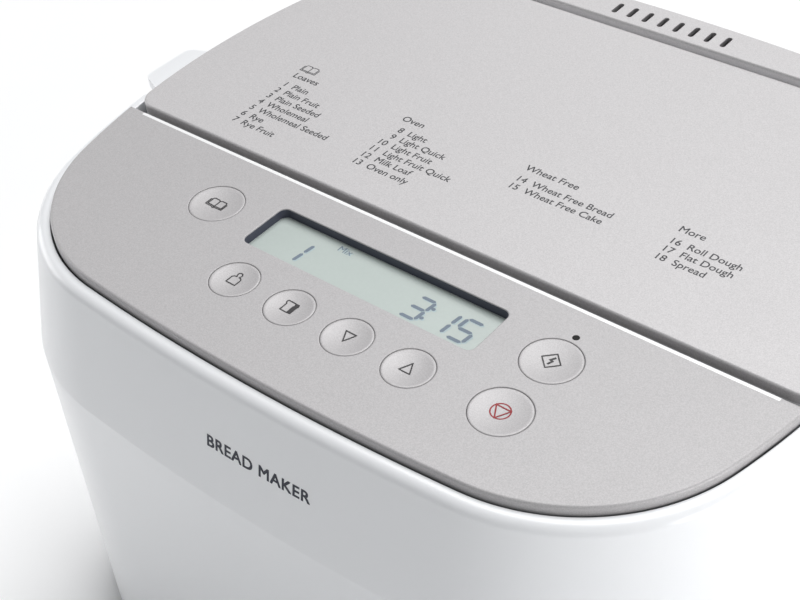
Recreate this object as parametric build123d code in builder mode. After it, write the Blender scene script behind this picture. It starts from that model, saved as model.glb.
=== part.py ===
"""Bread machine: flared case, hinged lid, key panel, baking chamber, bread pan and belt drive.

Frame: origin on the table at the middle of the footprint, +X to the right, front towards -Y, +Z up.
"""
from build123d import *
import os

# ---- Overall size
overall_width = 408.0
overall_depth = 362.0
overall_height = 250.0

# ---- Case
foot_height = 6.0
foot_radius = 11.0
foot_inset = 62.0
foot_rounding = 1.0
wall = 2.5
rim_drop = 4.0
rim_width = 6.9
rim_thickness = 3.0
rim_rounding = 5.0
flare_height = 60.0
flare_reach = 11.5
crease_rounding = 30.0
base_rounding = 2.0
plate_gap = 0.8
side_radius = 375.0
front_radius = 1160.0
corner_radius = 85.0
lip_wall = 2.5
post_radius = 6.0
post_height = 30.0
post_spread = 45.0
post_wall_gap = 1.5
vent_slot_width = 4.0
vent_slot_height = 34.0
vent_slot_pitch = 9.0
vent_slot_count = 8
vent_height = 70.0
vent_x = 40.0

# ---- Fits
clearance = 0.3
running_fit = 0.05
seat_fit = 0.02

# ---- Base and deck
base_thickness = 3.0
deck_drop = 28.0
deck_thickness = 3.0
screw_radius = 1.5
screw_head_radius = 3.0
screw_head_height = 1.6
screw_length = 10.0
deck_screw_margin = 1.0
cable_slot_length = 30.0
cable_slot_width = 10.0
steam_slot_length = 10.0
steam_slot_width = 3.0
steam_slot_shift = 1.0

# ---- Top plates
plate_thickness = 2.5
plate_skirt = 4.8
plate_skirt_wall = 2.5
plate_edge_rounding = 1.2
groove_width = 4.0
groove_lip_rounding = 2.0
lid_corner_radius = 11.0
lid_rear_corner_radius = 6.0
lid_tail_length = 24.0
lid_tail_inset = 2.0
lid_tail_corner_radius = 6.0
lid_tail_root_radius = 1.5
lid_tail_gap = 0.5
cover_horn_gap = 1.5

# ---- Display
display_inset = 74.3
display_length = 123.8
display_depth = 27.8
display_corner = 3.5
display_recess = 4.7
glass_thickness = 1.5
display_module_height = 4.0
bezel_wall = 2.0
panel_rear_from_display = 32.8

# ---- Keys
large_key_radius = 12.75
small_key_radius = 11.0
key_pitch = 31.1
key_row_drop = 34.8
key_row_start = -45.7
menu_key_x = -89.1
start_key_x = 90.4
stop_key_drop = 33.2
key_gap = 0.35
key_height = 6.4
key_flange = 1.3
key_flange_height = 1.6
key_flange_drop = 3.0
key_dish_depth = 1.0
key_dish_flat = 1.0
key_rounding = 0.6
key_land = 0.4
key_stem_radius = 3.0
key_stem_gap = 0.4
key_drop = 0.1
key_travel = 0.8
menu_key_drop = 1.1
led_radius = 1.5
led_drop = 0.2
led_shift = 0.4
led_gap = 3.45

# ---- Panel carrier and control board
carrier_drop = 9.6
carrier_thickness = 2.0
carrier_wall = 2.5
board_thickness = 1.6
board_drop = 18.0
board_end = 11.85
board_depth = 72.0
board_setback = 17.0
switch_size = 6.0
switch_height = 4.2
standoff_radius = 3.0

# ---- Lid
lid_wall = 3.0
lid_frame_thickness = 2.0
lid_rise = 4.0
lid_liner_thickness = 1.2
lid_liner_rise = 4.0
lid_ceiling = 2.4
lid_screw_shift = 5.4
seal_height = 4.0
seal_width = 5.0
seal_inset = 3.0
ear_root = 44.0
ear_tip = 30.5
ear_centre_y = -12.6
ear_reach = 16.0
ear_drop = 5.0
ear_thickness = 5.0
ear_corner = 5.0
ear_notch_gap = 2.0
ear_notch_reach = 8.0
ear_overlap = 12.0

# ---- Hinge
hinge_drop = 9.0
hinge_inset = 32.6
hinge_spread = 100.0
hinge_bracket_width = 8.0
hinge_eye_gap = 0.5
hinge_pin_radius = 2.5
hinge_pin_length = 26.0
lid_opening_angle = 85.0

# ---- Baking chamber
chamber_length = 206.0
chamber_corner = 30.0
chamber_wall = 0.8
chamber_base_rounding = 10.0
chamber_floor = 58.0
chamber_front_setback = 11.5
chamber_rear_setback = 10.0
chamber_flange = 20.0
chamber_flange_thickness = 1.2
shield_gap = 12.0
shield_rise = 4.0
shield_hole_gap = 1.0
shaft_hole_gap = 2.0

# ---- Heater
heater_radius = 3.25
heater_rise = 20.0
heater_wall_gap = 11.0
heater_corner = 34.0
heater_lead_x = 12.0
heater_lead_bend = 8.0
heater_lead_out = 15.0
heater_terminal_length = 8.0
heater_terminal_radius = 4.5
clip_width = 10.0
clip_spacing = 60.0
sensor_radius = 3.0
sensor_height = 120.0
sensor_x = 60.0
sensor_length = 28.0

# ---- Bread pan
pan_clearance = 13.0
pan_rim_width = 5.0
pan_rim_drop = 15.0
pan_wall = 1.5
pan_taper = 6.0
pan_corner = 28.0
pan_floor = 84.0
pan_ring_radius = 33.0
pan_ring_wall = 3.0
seat_wall = 3.5
seat_height = 11.0
handle_radius = 2.5
handle_lug_height = 9.0
handle_lug_width = 12.0
handle_lug_wall = 3.0
handle_lug_gap = 0.5
pan_lift = 10.0

# ---- Drive
shaft_radius = 4.0
shaft_bottom = 20.0
pulley_radius = 38.0
pulley_height = 12.0
pulley_bottom = 24.0
motor_pulley_radius = 9.0
belt_width = 6.0
belt_thickness = 3.0
belt_gap = 0.3
belt_sink = 0.5
housing_radius = 14.0
bush_radius = 7.0
bush_length = 4.0
bush_rim = 2.0
coupler_hub_radius = 9.0
dog_radius = 15.0
dog_width = 6.0
dog_height = 5.0
dog_inset = 1.0
coupler_plate = 4.5
coupler_rise = 1.4
blade_length = 46.0
blade_height = 28.0
blade_thickness = 6.0
blade_hub_radius = 8.5
blade_rise = 1.8
blade_rounding = 1.5
blade_cap = 4.0
blade_shaft_gap = 0.5

# ---- Motor, capacitor and boards
motor_inset = 76.0
stator_size = 66.0
stator_height = 30.0
stator_bore = 20.5
stator_corner = 6.0
rotor_gap = 0.5
rotor_inset = 1.0
motor_shaft_foot = 2.0
motor_shaft_head = 3.0
bell_radius = 31.0
bell_height = 10.0
bell_wall = 2.5
coil_height = 5.5
coil_outer = 27.5
coil_gap = 0.5
motor_shaft_radius = 3.0
frame_thickness = 2.0
frame_height = 46.0
frame_half_width = 46.0
frame_leg = 8.0
frame_margin = 4.0
frame_hole_gap = 1.0
capacitor_radius = 15.0
capacitor_height = 48.0
capacitor_x = -110.0
capacitor_rounding = 1.5
power_board_left = 70.0
power_board_wall_gap = 50.0
power_board_depth = 72.0
power_board_rise = 8.0
# Each block on the power board: X and Y from its middle, length, depth and height
power_blocks = (
    (-18.0, 8.0, 38.0, 32.0, 30.0),
    (20.0, 18.0, 20.0, 16.0, 16.0),
    (20.0, -8.0, 26.0, 12.0, 14.0),
    (-18.0, -21.0, 18.0, 10.0, 12.0),
)

# ---- Cord gland
gland_x = -70.0
gland_height = 30.0
gland_bore = 3.8
gland_body_radius = 7.0
gland_flange_radius = 10.5
gland_flange_thickness = 2.6
gland_length = 16.0
gland_face_inset = 2.0
gland_boss_wall = 3.0
gland_boss_depth = 4.4

# ---- Values worked out from the ones above
wall_offset = rim_width + flare_reach
half_width = overall_width / 2 - wall_offset
half_depth = overall_depth / 2 - wall_offset
plate_top = overall_height
rim_top = plate_top - rim_drop
crease_height = rim_top - flare_height
deck_top = plate_top - deck_drop
deck_bottom = deck_top - deck_thickness
base_top = foot_height + base_thickness
sheet_bottom = plate_top - plate_thickness
skirt_bottom = plate_top - plate_skirt

display_y = -half_depth + display_inset
panel_rear_y = display_y + panel_rear_from_display
lid_front_y = panel_rear_y + groove_width
hinge_y = half_depth - hinge_inset
hinge_z = plate_top - hinge_drop
lid_rear_y = hinge_y + hinge_drop
cover_front_y = lid_rear_y + 2 * clearance
lid_tail_y = lid_rear_y - lid_tail_length

chamber_front_y = lid_front_y + chamber_front_setback
chamber_rear_y = hinge_y - chamber_rear_setback
chamber_depth = chamber_rear_y - chamber_front_y
chamber_y = (chamber_front_y + chamber_rear_y) / 2
floor_top = chamber_floor + chamber_wall

post_x = overall_width / 2 - wall - post_radius - post_wall_gap
foot_x = overall_width / 2 - foot_inset
foot_y = overall_depth / 2 - foot_inset
motor_y = -overall_depth / 2 + motor_inset
gland_seat_y = overall_depth / 2 - gland_face_inset - gland_flange_thickness
led_x = start_key_x + led_shift
led_y = display_y + large_key_radius + led_gap
board_length = 2 * (start_key_x + large_key_radius + board_end)
hinge_bracket_depth = 2 * (hinge_drop - plate_thickness - hinge_eye_gap)
power_board_length = overall_width / 2 - power_board_wall_gap - power_board_left
power_board_x = power_board_left + power_board_length / 2


# Centres of the outline's arcs: shallow front and side bows joined by tangent corners
front_centre = Vector(0, -half_depth + front_radius)
side_centre = Vector(half_width - side_radius, 0)


def corner_centre():
    """Centre of the front right corner's arc, tangent inside both the front and the side bow."""
    to_side = side_centre - front_centre
    reach_front = front_radius - corner_radius
    reach_side = side_radius - corner_radius
    along = (to_side.length**2 + reach_front**2 - reach_side**2) / (2 * to_side.length)
    across = (reach_front**2 - along**2) ** 0.5
    direction = to_side.normalized()
    return front_centre + direction * along + Vector(-direction.Y, direction.X) * across


def plate_face(grow=0.0):
    """Rounded outline shared by the top plates, the rim and the walls, grown outwards by grow."""
    centre = corner_centre()
    radius = corner_radius + grow
    to_front = (centre - front_centre).normalized()
    to_side = (centre - side_centre).normalized()
    front_end = centre + to_front * radius
    middle = centre + (to_front + to_side).normalized() * radius
    side_end = centre + to_side * radius
    with BuildSketch() as face:
        with BuildLine():
            for side in (-1, 1):
                ThreePointArc(
                    (-front_end.X, side * front_end.Y),
                    (0, side * (-half_depth - grow)),
                    (front_end.X, side * front_end.Y),
                )
                ThreePointArc(
                    (side * side_end.X, side_end.Y),
                    (side * (half_width + grow), 0),
                    (side * side_end.X, -side_end.Y),
                )
                for end in (-1, 1):
                    ThreePointArc(
                        (side * front_end.X, end * front_end.Y),
                        (side * middle.X, end * middle.Y),
                        (side * side_end.X, end * side_end.Y),
                    )
        make_face()
    return face.sketch


def band_face(low_y, high_y, grow=0.0):
    """The part of the plate outline that lies between two Y values."""
    with BuildSketch() as face:
        add(plate_face(grow))
        with Locations((0, (low_y + high_y) / 2)):
            Rectangle(2 * overall_width, high_y - low_y, mode=Mode.INTERSECT)
    return face.sketch


def outline_half_width(y):
    """Half the plate outline's width at a Y on its rear corner arcs."""
    centre = corner_centre()
    return centre.X + (corner_radius**2 - (y + centre.Y) ** 2) ** 0.5


def tail_corners(low_y, high_y, inner_x):
    """The two regions beside the lid's tail, from inner_x outwards, between two Y values."""
    with BuildSketch() as corners:
        with Locations((0, (low_y + high_y) / 2)):
            Rectangle(2 * overall_width, high_y - low_y)
            Rectangle(2 * inner_x, high_y - low_y, mode=Mode.SUBTRACT)
    return corners.sketch


def lid_face(shrink=0.0):
    """The lid's outline, with a narrower tail that swings clear of the rim behind the hinge."""
    tail_y = lid_tail_y - shrink
    with BuildSketch() as face:
        add(band_face(lid_front_y + shrink, lid_rear_y, -shrink))
        add(tail_corners(tail_y, overall_depth, lid_tail_half_width - shrink), mode=Mode.SUBTRACT)
        fillet(face.vertices().group_by(Axis.Y)[0], lid_corner_radius - shrink)
        fillet(face.vertices().group_by(Axis.Y)[-1], lid_rear_corner_radius)
        shoulders = face.vertices().filter_by(lambda corner: abs(corner.Y - tail_y) < 0.01)
        outer = shoulders.filter_by(lambda corner: abs(corner.X) > lid_tail_half_width + 1.0)
        inner = shoulders.filter_by(lambda corner: abs(corner.X) < lid_tail_half_width + 1.0)
        fillet(outer, lid_tail_corner_radius - shrink)
        fillet(inner, lid_tail_root_radius + shrink)
    return face.sketch


def chamber_face(grow=0.0):
    """The baking chamber's rounded opening, grown outwards by grow."""
    with BuildSketch() as face:
        with Locations((0, chamber_y)):
            RectangleRounded(chamber_length + 2 * grow, chamber_depth + 2 * grow, chamber_corner + grow)
    return face.sketch


def pan_face(shrink=0.0):
    """The pan's rounded section at its rim, shrunk inwards by shrink."""
    length = chamber_length - 2 * (pan_clearance + pan_rim_width + shrink)
    depth = chamber_depth - 2 * (pan_clearance + pan_rim_width + shrink)
    with BuildSketch() as face:
        with Locations((0, chamber_y)):
            RectangleRounded(length, depth, max(pan_corner - shrink, 2.0))
    return face.sketch


lid_tail_half_width = outline_half_width(lid_rear_y) - lid_tail_inset

# ---- Outer case: upright wall, flared wall, rim and the inner lip round the top plates
with BuildPart() as outer_case:
    with BuildSketch(Plane.XY.offset(foot_height)):
        add(plate_face(wall_offset))
    extrude(amount=crease_height - foot_height)
    with BuildSketch(Plane.XY.offset(crease_height)):
        add(plate_face(wall_offset))
    with BuildSketch(Plane.XY.offset(rim_top)):
        add(plate_face(rim_width))
    loft(ruled=True)
    crease_edges = outer_case.edges().filter_by(lambda edge: abs(edge.center().Z - crease_height) < 0.01)
    fillet(crease_edges, crease_rounding)
    fillet(outer_case.faces().sort_by(Axis.Z)[-1].edges(), rim_rounding)
    fillet(outer_case.faces().sort_by(Axis.Z)[0].edges(), base_rounding)
    with BuildSketch(Plane.XY.offset(foot_height)):
        add(plate_face(wall_offset - wall))
    extrude(amount=crease_height - foot_height, mode=Mode.SUBTRACT)
    with BuildSketch(Plane.XY.offset(crease_height)):
        add(plate_face(wall_offset - wall))
    with BuildSketch(Plane.XY.offset(rim_top - rim_thickness)):
        add(plate_face(rim_width + flare_reach * rim_thickness / flare_height - wall))
    loft(ruled=True, mode=Mode.SUBTRACT)
    with BuildSketch(Plane.XY.offset(deck_top)):
        add(plate_face(plate_gap + lip_wall))
    extrude(amount=rim_top - deck_top - rim_thickness)
    with BuildSketch(Plane.XY.offset(deck_top)):
        add(plate_face(plate_gap))
    extrude(amount=deck_drop, mode=Mode.SUBTRACT)
    # Notches in the rim for the lid's ears
    ear_notch_low = plate_top - ear_drop - ear_thickness - 2 * clearance
    with BuildSketch(Plane.XY.offset(ear_notch_low)):
        with Locations((-overall_width / 2, ear_centre_y), (overall_width / 2, ear_centre_y)):
            Rectangle(2 * (wall_offset + ear_notch_reach), ear_root + 2 * ear_notch_gap)
    extrude(amount=deck_drop, mode=Mode.SUBTRACT)
    # Screw posts inside the side walls
    with BuildSketch(Plane.XY.offset(base_top)):
        with GridLocations(2 * post_x, 2 * post_spread, 2, 2):
            Circle(post_radius)
    extrude(amount=post_height)
    with BuildSketch(Plane.XY.offset(base_top)):
        with GridLocations(2 * post_x, 2 * post_spread, 2, 2):
            Circle(screw_radius)
    extrude(amount=screw_length + 1.0, mode=Mode.SUBTRACT)
    # Cooling slots in the rear wall
    with BuildSketch(Plane.XZ.offset(-overall_depth / 2 - 1.0)):
        with Locations((vent_x, vent_height)):
            with GridLocations(vent_slot_pitch, 1.0, vent_slot_count, 1):
                SlotOverall(vent_slot_height, vent_slot_width, rotation=90)
    extrude(amount=4 * wall, mode=Mode.SUBTRACT)
    # Boss, seat and hole for the cord gland
    with BuildSketch(Plane.XZ.offset(-gland_seat_y)):
        with Locations((gland_x, gland_height)):
            Circle(gland_flange_radius + gland_boss_wall)
    extrude(amount=gland_boss_depth)
    with BuildSketch(Plane.XZ.offset(-gland_seat_y)):
        with Locations((gland_x, gland_height)):
            Circle(gland_flange_radius + clearance)
    extrude(amount=-overall_depth, mode=Mode.SUBTRACT)
    with BuildSketch(Plane.XZ.offset(-gland_seat_y)):
        with Locations((gland_x, gland_height)):
            Circle(gland_body_radius + seat_fit)
    extrude(amount=2 * gland_boss_depth, mode=Mode.SUBTRACT)

# ---- Base plate with its screws and feet
with BuildPart() as base_plate:
    with BuildSketch(Plane.XY.offset(foot_height)):
        add(plate_face(wall_offset - wall - clearance))
        with GridLocations(2 * post_x, 2 * post_spread, 2, 2):
            Circle(screw_radius + clearance, mode=Mode.SUBTRACT)
        with Locations((0, motor_y)):
            with GridLocations(vent_slot_pitch, 1.0, vent_slot_count, 1):
                SlotOverall(vent_slot_height, vent_slot_width, rotation=90, mode=Mode.SUBTRACT)
    extrude(amount=base_thickness)

with BuildPart() as base_screws:
    with BuildSketch(Plane.XY.offset(foot_height - screw_head_height)):
        with GridLocations(2 * post_x, 2 * post_spread, 2, 2):
            Circle(screw_head_radius)
    extrude(amount=screw_head_height)
    with BuildSketch(Plane.XY.offset(foot_height)):
        with GridLocations(2 * post_x, 2 * post_spread, 2, 2):
            Circle(screw_radius - seat_fit)
    extrude(amount=base_thickness + screw_length)

with BuildPart() as rubber_feet:
    with BuildSketch():
        with GridLocations(2 * foot_x, 2 * foot_y, 2, 2):
            Circle(foot_radius)
    extrude(amount=foot_height)
    fillet(rubber_feet.faces().filter_by(Axis.Z).group_by(Axis.Z)[0].edges(), foot_rounding)

# ---- Top deck round the chamber's opening
deck_screw_spread_x = chamber_length + 2 * chamber_flange - 2 * screw_head_radius - deck_screw_margin
deck_screw_spread_y = chamber_depth
with BuildPart() as top_deck:
    with BuildSketch(Plane.XY.offset(deck_bottom)):
        add(plate_face(plate_gap + lip_wall))
        add(chamber_face(), mode=Mode.SUBTRACT)
        with Locations((0, chamber_y)):
            with GridLocations(deck_screw_spread_x, deck_screw_spread_y / 2, 2, 2):
                Circle(screw_radius + clearance, mode=Mode.SUBTRACT)
        with Locations((board_length / 3, display_y)):
            SlotOverall(cable_slot_length, cable_slot_width, mode=Mode.SUBTRACT)
    extrude(amount=deck_thickness)

with BuildPart() as deck_screws:
    with BuildSketch(Plane.XY.offset(deck_top)):
        with Locations((0, chamber_y)):
            with GridLocations(deck_screw_spread_x, deck_screw_spread_y / 2, 2, 2):
                Circle(screw_head_radius)
    extrude(amount=screw_head_height)
    with BuildSketch(Plane.XY.offset(deck_top)):
        with Locations((0, chamber_y)):
            with GridLocations(deck_screw_spread_x, deck_screw_spread_y / 2, 2, 2):
                Circle(screw_radius - seat_fit)
    extrude(amount=-screw_length)

# ---- Rear cover: the fixed strip behind the lid, with the steam slots
horn_inner_x = lid_tail_half_width + lid_tail_gap
with BuildPart() as rear_cover:
    with BuildSketch(Plane.XY.offset(deck_top)):
        add(band_face(cover_front_y, half_depth + 1.0))
    extrude(amount=plate_top - deck_top)
    fillet(rear_cover.faces().sort_by(Axis.Z)[-1].edges(), plate_edge_rounding)
    with BuildSketch(Plane.XY.offset(deck_top)):
        with BuildSketch() as cover_inside:
            add(band_face(cover_front_y, half_depth + 1.0))
            offset(amount=-plate_skirt_wall)
        add(cover_inside.sketch)
    extrude(amount=sheet_bottom - deck_top, mode=Mode.SUBTRACT)
    # Low horns that fill the corners beside the lid's tail, level with the rim
    with BuildSketch(Plane.XY.offset(deck_top)):
        add(plate_face())
        add(
            tail_corners(lid_tail_y + cover_horn_gap, cover_front_y + plate_skirt_wall, horn_inner_x),
            mode=Mode.INTERSECT,
        )
    extrude(amount=rim_top - deck_top)
    with BuildSketch(Plane.XY.offset(sheet_bottom)):
        with Locations((0, (cover_front_y + half_depth) / 2 - steam_slot_shift)):
            with GridLocations(vent_slot_pitch, 1.0, vent_slot_count, 1):
                SlotOverall(steam_slot_length, steam_slot_width, rotation=90)
    extrude(amount=plate_thickness, mode=Mode.SUBTRACT)

# ---- Keys: name, X, Y, radius
key_row_y = display_y - key_row_drop
keys = [
    ("menu_button", menu_key_x, display_y - menu_key_drop, large_key_radius),
    ("start_button", start_key_x, display_y, large_key_radius),
    ("stop_button", start_key_x, display_y - stop_key_drop, large_key_radius),
    ("size_button", key_row_start, key_row_y, small_key_radius),
    ("crust_button", key_row_start + key_pitch, key_row_y, small_key_radius),
    ("down_button", key_row_start + 2 * key_pitch, key_row_y, small_key_radius),
    ("up_button", key_row_start + 3 * key_pitch, key_row_y, small_key_radius),
]

# ---- Control panel
with BuildPart() as control_panel:
    panel_front_y = -half_depth - 1.0
    with BuildSketch(Plane.XY.offset(skirt_bottom)):
        add(band_face(panel_front_y, panel_rear_y))
    extrude(amount=plate_skirt)
    top_edges = control_panel.faces().sort_by(Axis.Z)[-1].edges()
    rear_edge = top_edges.sort_by(Axis.Y)[-1]
    fillet(rear_edge, groove_lip_rounding)
    outer_edges = control_panel.faces().sort_by(Axis.Z)[-1].edges().sort_by(Axis.Y)[:-1]
    fillet(outer_edges, plate_edge_rounding)
    with BuildSketch(Plane.XY.offset(skirt_bottom)):
        with BuildSketch() as panel_inside:
            add(band_face(panel_front_y, panel_rear_y))
            offset(amount=-plate_skirt_wall)
        add(panel_inside.sketch)
    extrude(amount=plate_skirt - plate_thickness, mode=Mode.SUBTRACT)
    with BuildSketch(Plane.XY.offset(sheet_bottom)):
        with Locations((0, display_y)):
            RectangleRounded(display_length, display_depth, display_corner)
        for name, key_x, key_y, key_radius in keys:
            with Locations((key_x, key_y)):
                Circle(key_radius + key_gap)
        with Locations((led_x, led_y)):
            Circle(led_radius + seat_fit)
    extrude(amount=plate_thickness, mode=Mode.SUBTRACT)

# ---- Panel carrier: wall on the deck, and a plate that guides the key stems
carrier_top = plate_top - carrier_drop
carrier_shrink = plate_skirt_wall + clearance
with BuildPart() as panel_carrier:
    with BuildSketch(Plane.XY.offset(deck_top)):
        with BuildSketch() as carrier_outside:
            add(band_face(-half_depth - 1.0, panel_rear_y))
            offset(amount=-carrier_shrink)
        add(carrier_outside.sketch)
    extrude(amount=sheet_bottom - deck_top)
    with BuildSketch(Plane.XY.offset(deck_top)) as carrier_inside:
        with BuildSketch() as carrier_core:
            add(carrier_outside.sketch)
            offset(amount=-carrier_wall)
        add(carrier_core.sketch)
    extrude(amount=carrier_top - carrier_thickness - deck_top, mode=Mode.SUBTRACT)
    with BuildSketch(Plane.XY.offset(carrier_top)):
        add(carrier_core.sketch)
    extrude(amount=sheet_bottom - carrier_top, mode=Mode.SUBTRACT)
    with BuildSketch(Plane.XY.offset(carrier_top - carrier_thickness)):
        with Locations((0, display_y)):
            Rectangle(display_length + 2 * bezel_wall, display_depth + 2 * bezel_wall)
        for name, key_x, key_y, key_radius in keys:
            with Locations((key_x, key_y)):
                Circle(key_stem_radius + clearance)
        with Locations((led_x, led_y)):
            Circle(led_radius + clearance)
    extrude(amount=carrier_thickness, mode=Mode.SUBTRACT)

# ---- Display: bezel, glass and module, stacked under the window
glass_top = plate_top - display_recess
bezel_bottom = carrier_top - carrier_thickness
with BuildPart() as display_bezel:
    with BuildSketch(Plane.XY.offset(glass_top)):
        with Locations((0, display_y)):
            outer_length = display_length + 2 * bezel_wall - 2 * clearance
            outer_depth = display_depth + 2 * bezel_wall - 2 * clearance
            RectangleRounded(outer_length, outer_depth, display_corner)
            RectangleRounded(display_length, display_depth, display_corner, mode=Mode.SUBTRACT)
    extrude(amount=sheet_bottom - glass_top)

with BuildPart() as display_glass:
    with BuildSketch(Plane.XY.offset(glass_top - glass_thickness)):
        with Locations((0, display_y)):
            RectangleRounded(outer_length, outer_depth, display_corner)
    extrude(amount=glass_thickness)

with BuildPart() as display_module:
    with BuildSketch(Plane.XY.offset(glass_top - glass_thickness - display_module_height)):
        with Locations((0, display_y)):
            Rectangle(display_length, display_depth)
    extrude(amount=display_module_height)

# ---- Control board with its switches, under the carrier
board_top = plate_top - board_drop
board_y = display_y - board_setback
with BuildPart() as control_board:
    with BuildSketch(Plane.XY.offset(board_top - board_thickness)):
        with Locations((0, board_y)):
            Rectangle(board_length, board_depth)
        with BuildSketch() as board_limit:
            add(carrier_core.sketch)
            offset(amount=-clearance)
        add(board_limit.sketch, mode=Mode.INTERSECT)
    extrude(amount=board_thickness)
    with BuildSketch(Plane.XY.offset(deck_top)):
        with Locations((0, board_y)):
            with GridLocations(2 * start_key_x, board_depth - 4 * standoff_radius, 2, 2):
                Circle(standoff_radius)
    extrude(amount=board_top - board_thickness - deck_top)

with BuildPart() as key_switches:
    with BuildSketch(Plane.XY.offset(board_top)):
        for name, key_x, key_y, key_radius in keys:
            with Locations((key_x, key_y)):
                Rectangle(switch_size, switch_size)
    extrude(amount=switch_height)

with BuildPart() as status_led:
    with BuildSketch(Plane.XY.offset(board_top)):
        with Locations((led_x, led_y)):
            Circle(led_radius)
    extrude(amount=plate_top - led_drop - board_top)

# ---- Keys: dished caps with a hidden flange and a stem over each switch
key_top = plate_top - key_drop
key_bottom = plate_top - key_height
stem_bottom = board_top + switch_height + key_travel + key_stem_gap
flange_top = plate_top - key_flange_drop
key_parts = {}
for name, key_x, key_y, key_radius in keys:
    dish_edge = key_radius - key_rounding - key_land
    dish_reach = dish_edge - key_dish_flat
    dish_radius = (dish_reach**2 + key_dish_depth**2) / (2 * key_dish_depth)
    with BuildPart() as key_cap:
        with BuildSketch(Plane(origin=(key_x, key_y, 0), x_dir=(1, 0, 0), z_dir=(0, -1, 0))):
            with BuildLine():
                Polyline(
                    (0, key_top - key_dish_depth),
                    (0, stem_bottom),
                    (key_stem_radius, stem_bottom),
                    (key_stem_radius, key_bottom),
                    (key_radius, key_bottom),
                    (key_radius, flange_top - key_flange_height),
                    (key_radius + key_flange, flange_top - key_flange_height),
                    (key_radius + key_flange, flange_top),
                    (key_radius, flange_top),
                    (key_radius, key_top - key_rounding),
                )
                RadiusArc(
                    (key_radius, key_top - key_rounding),
                    (key_radius - key_rounding, key_top),
                    -key_rounding,
                )
                Line((key_radius - key_rounding, key_top), (dish_edge, key_top))
                RadiusArc((dish_edge, key_top), (key_dish_flat, key_top - key_dish_depth), dish_radius)
                Line((key_dish_flat, key_top - key_dish_depth), (0, key_top - key_dish_depth))
            make_face()
        revolve(axis=Axis((key_x, key_y, 0), (0, 0, 1)))
    key_parts[name] = key_cap

# ---- Lid plate, shell, inner frame, liner, seal and screws
with BuildPart() as lid_limit:
    with Locations((0, hinge_y / 2 - overall_depth / 2, hinge_z)):
        Box(2 * overall_width, overall_depth + hinge_y, overall_height)
    with Locations((0, hinge_y, hinge_z)):
        Cylinder(hinge_drop, 2 * overall_width, rotation=(0, 90, 0))

# Room for the hinge brackets as they turn under the lid's top sheet, and the pins' holes
bracket_slot = hinge_bracket_width + 4 * clearance
slot_front_y = hinge_y - hinge_bracket_depth / 2 - 1.0
with BuildPart() as hinge_slots:
    with BuildSketch():
        with Locations((0, (slot_front_y + overall_depth / 2) / 2)):
            with GridLocations(2 * hinge_spread, 1.0, 2, 1):
                Rectangle(bracket_slot, overall_depth / 2 - slot_front_y)
    extrude(amount=sheet_bottom)

with BuildPart() as hinge_holes:
    with Locations((0, hinge_y, hinge_z)):
        with GridLocations(2 * hinge_spread, 1.0, 2, 1):
            Cylinder(hinge_pin_radius + running_fit, hinge_pin_length + 1.0, rotation=(0, 90, 0))

lid_screw_spread_x = chamber_length / 2 + seal_inset + seal_width + half_width - lid_screw_shift
lid_screw_spread_y = chamber_depth / 2
with BuildPart() as lid_plate:
    with BuildSketch(Plane.XY.offset(skirt_bottom)):
        add(lid_face())
    extrude(amount=plate_skirt)
    fillet(lid_plate.faces().sort_by(Axis.Z)[-1].edges(), plate_edge_rounding)
    with BuildSketch(Plane.XY.offset(skirt_bottom)):
        add(lid_face(plate_skirt_wall))
    extrude(amount=plate_skirt - plate_thickness, mode=Mode.SUBTRACT)
    add(lid_limit.part, mode=Mode.INTERSECT)
    add(hinge_slots.part, mode=Mode.SUBTRACT)

lid_bottom = deck_top + lid_rise + lid_frame_thickness
ear_top = plate_top - ear_drop
shell_inner_top = skirt_bottom - lid_ceiling
with BuildPart() as lid_shell:
    with BuildSketch(Plane.XY.offset(lid_bottom)):
        add(lid_face())
    extrude(amount=skirt_bottom - lid_bottom)
    with BuildSketch(Plane.XY.offset(skirt_bottom)):
        add(lid_face(plate_skirt_wall + seat_fit))
    extrude(amount=plate_skirt - plate_thickness)
    # Ears at both sides, to lift the lid by
    with BuildSketch(Plane.XY.offset(ear_top - ear_thickness)) as ears:
        for side in (-1, 1):
            root_x = side * (half_width - ear_overlap)
            tip_x = side * (half_width + ear_reach)
            with BuildLine():
                Polyline(
                    (root_x, ear_centre_y - ear_root / 2),
                    (side * (half_width - 1.0), ear_centre_y - ear_root / 2),
                    (tip_x, ear_centre_y - ear_tip / 2),
                    (tip_x, ear_centre_y + ear_tip / 2),
                    (side * (half_width - 1.0), ear_centre_y + ear_root / 2),
                    (root_x, ear_centre_y + ear_root / 2),
                    close=True,
                )
            make_face()
        tip_corners = ears.vertices().filter_by(lambda corner: abs(corner.X) > half_width + 1.0)
        fillet(tip_corners, ear_corner)
    extrude(amount=ear_thickness)
    with BuildSketch(Plane.XY.offset(lid_bottom)):
        add(band_face(lid_front_y, hinge_y - hinge_drop - lid_wall, -lid_wall))
        add(
            tail_corners(lid_tail_y - lid_wall, overall_depth, lid_tail_half_width - lid_wall),
            mode=Mode.SUBTRACT,
        )
        with Locations((0, lid_front_y)):
            Rectangle(2 * overall_width, 2 * lid_wall, mode=Mode.SUBTRACT)
    extrude(amount=shell_inner_top - lid_bottom, mode=Mode.SUBTRACT)
    add(lid_limit.part, mode=Mode.INTERSECT)
    # Bosses for the lid screws
    with BuildSketch(Plane.XY.offset(lid_bottom)):
        with Locations((0, chamber_y)):
            with GridLocations(lid_screw_spread_x, lid_screw_spread_y, 2, 2):
                Circle(2 * screw_head_radius)
                Circle(screw_radius, mode=Mode.SUBTRACT)
    extrude(amount=shell_inner_top - lid_bottom)
    add(hinge_slots.part, mode=Mode.SUBTRACT)
    add(hinge_holes.part, mode=Mode.SUBTRACT)

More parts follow.
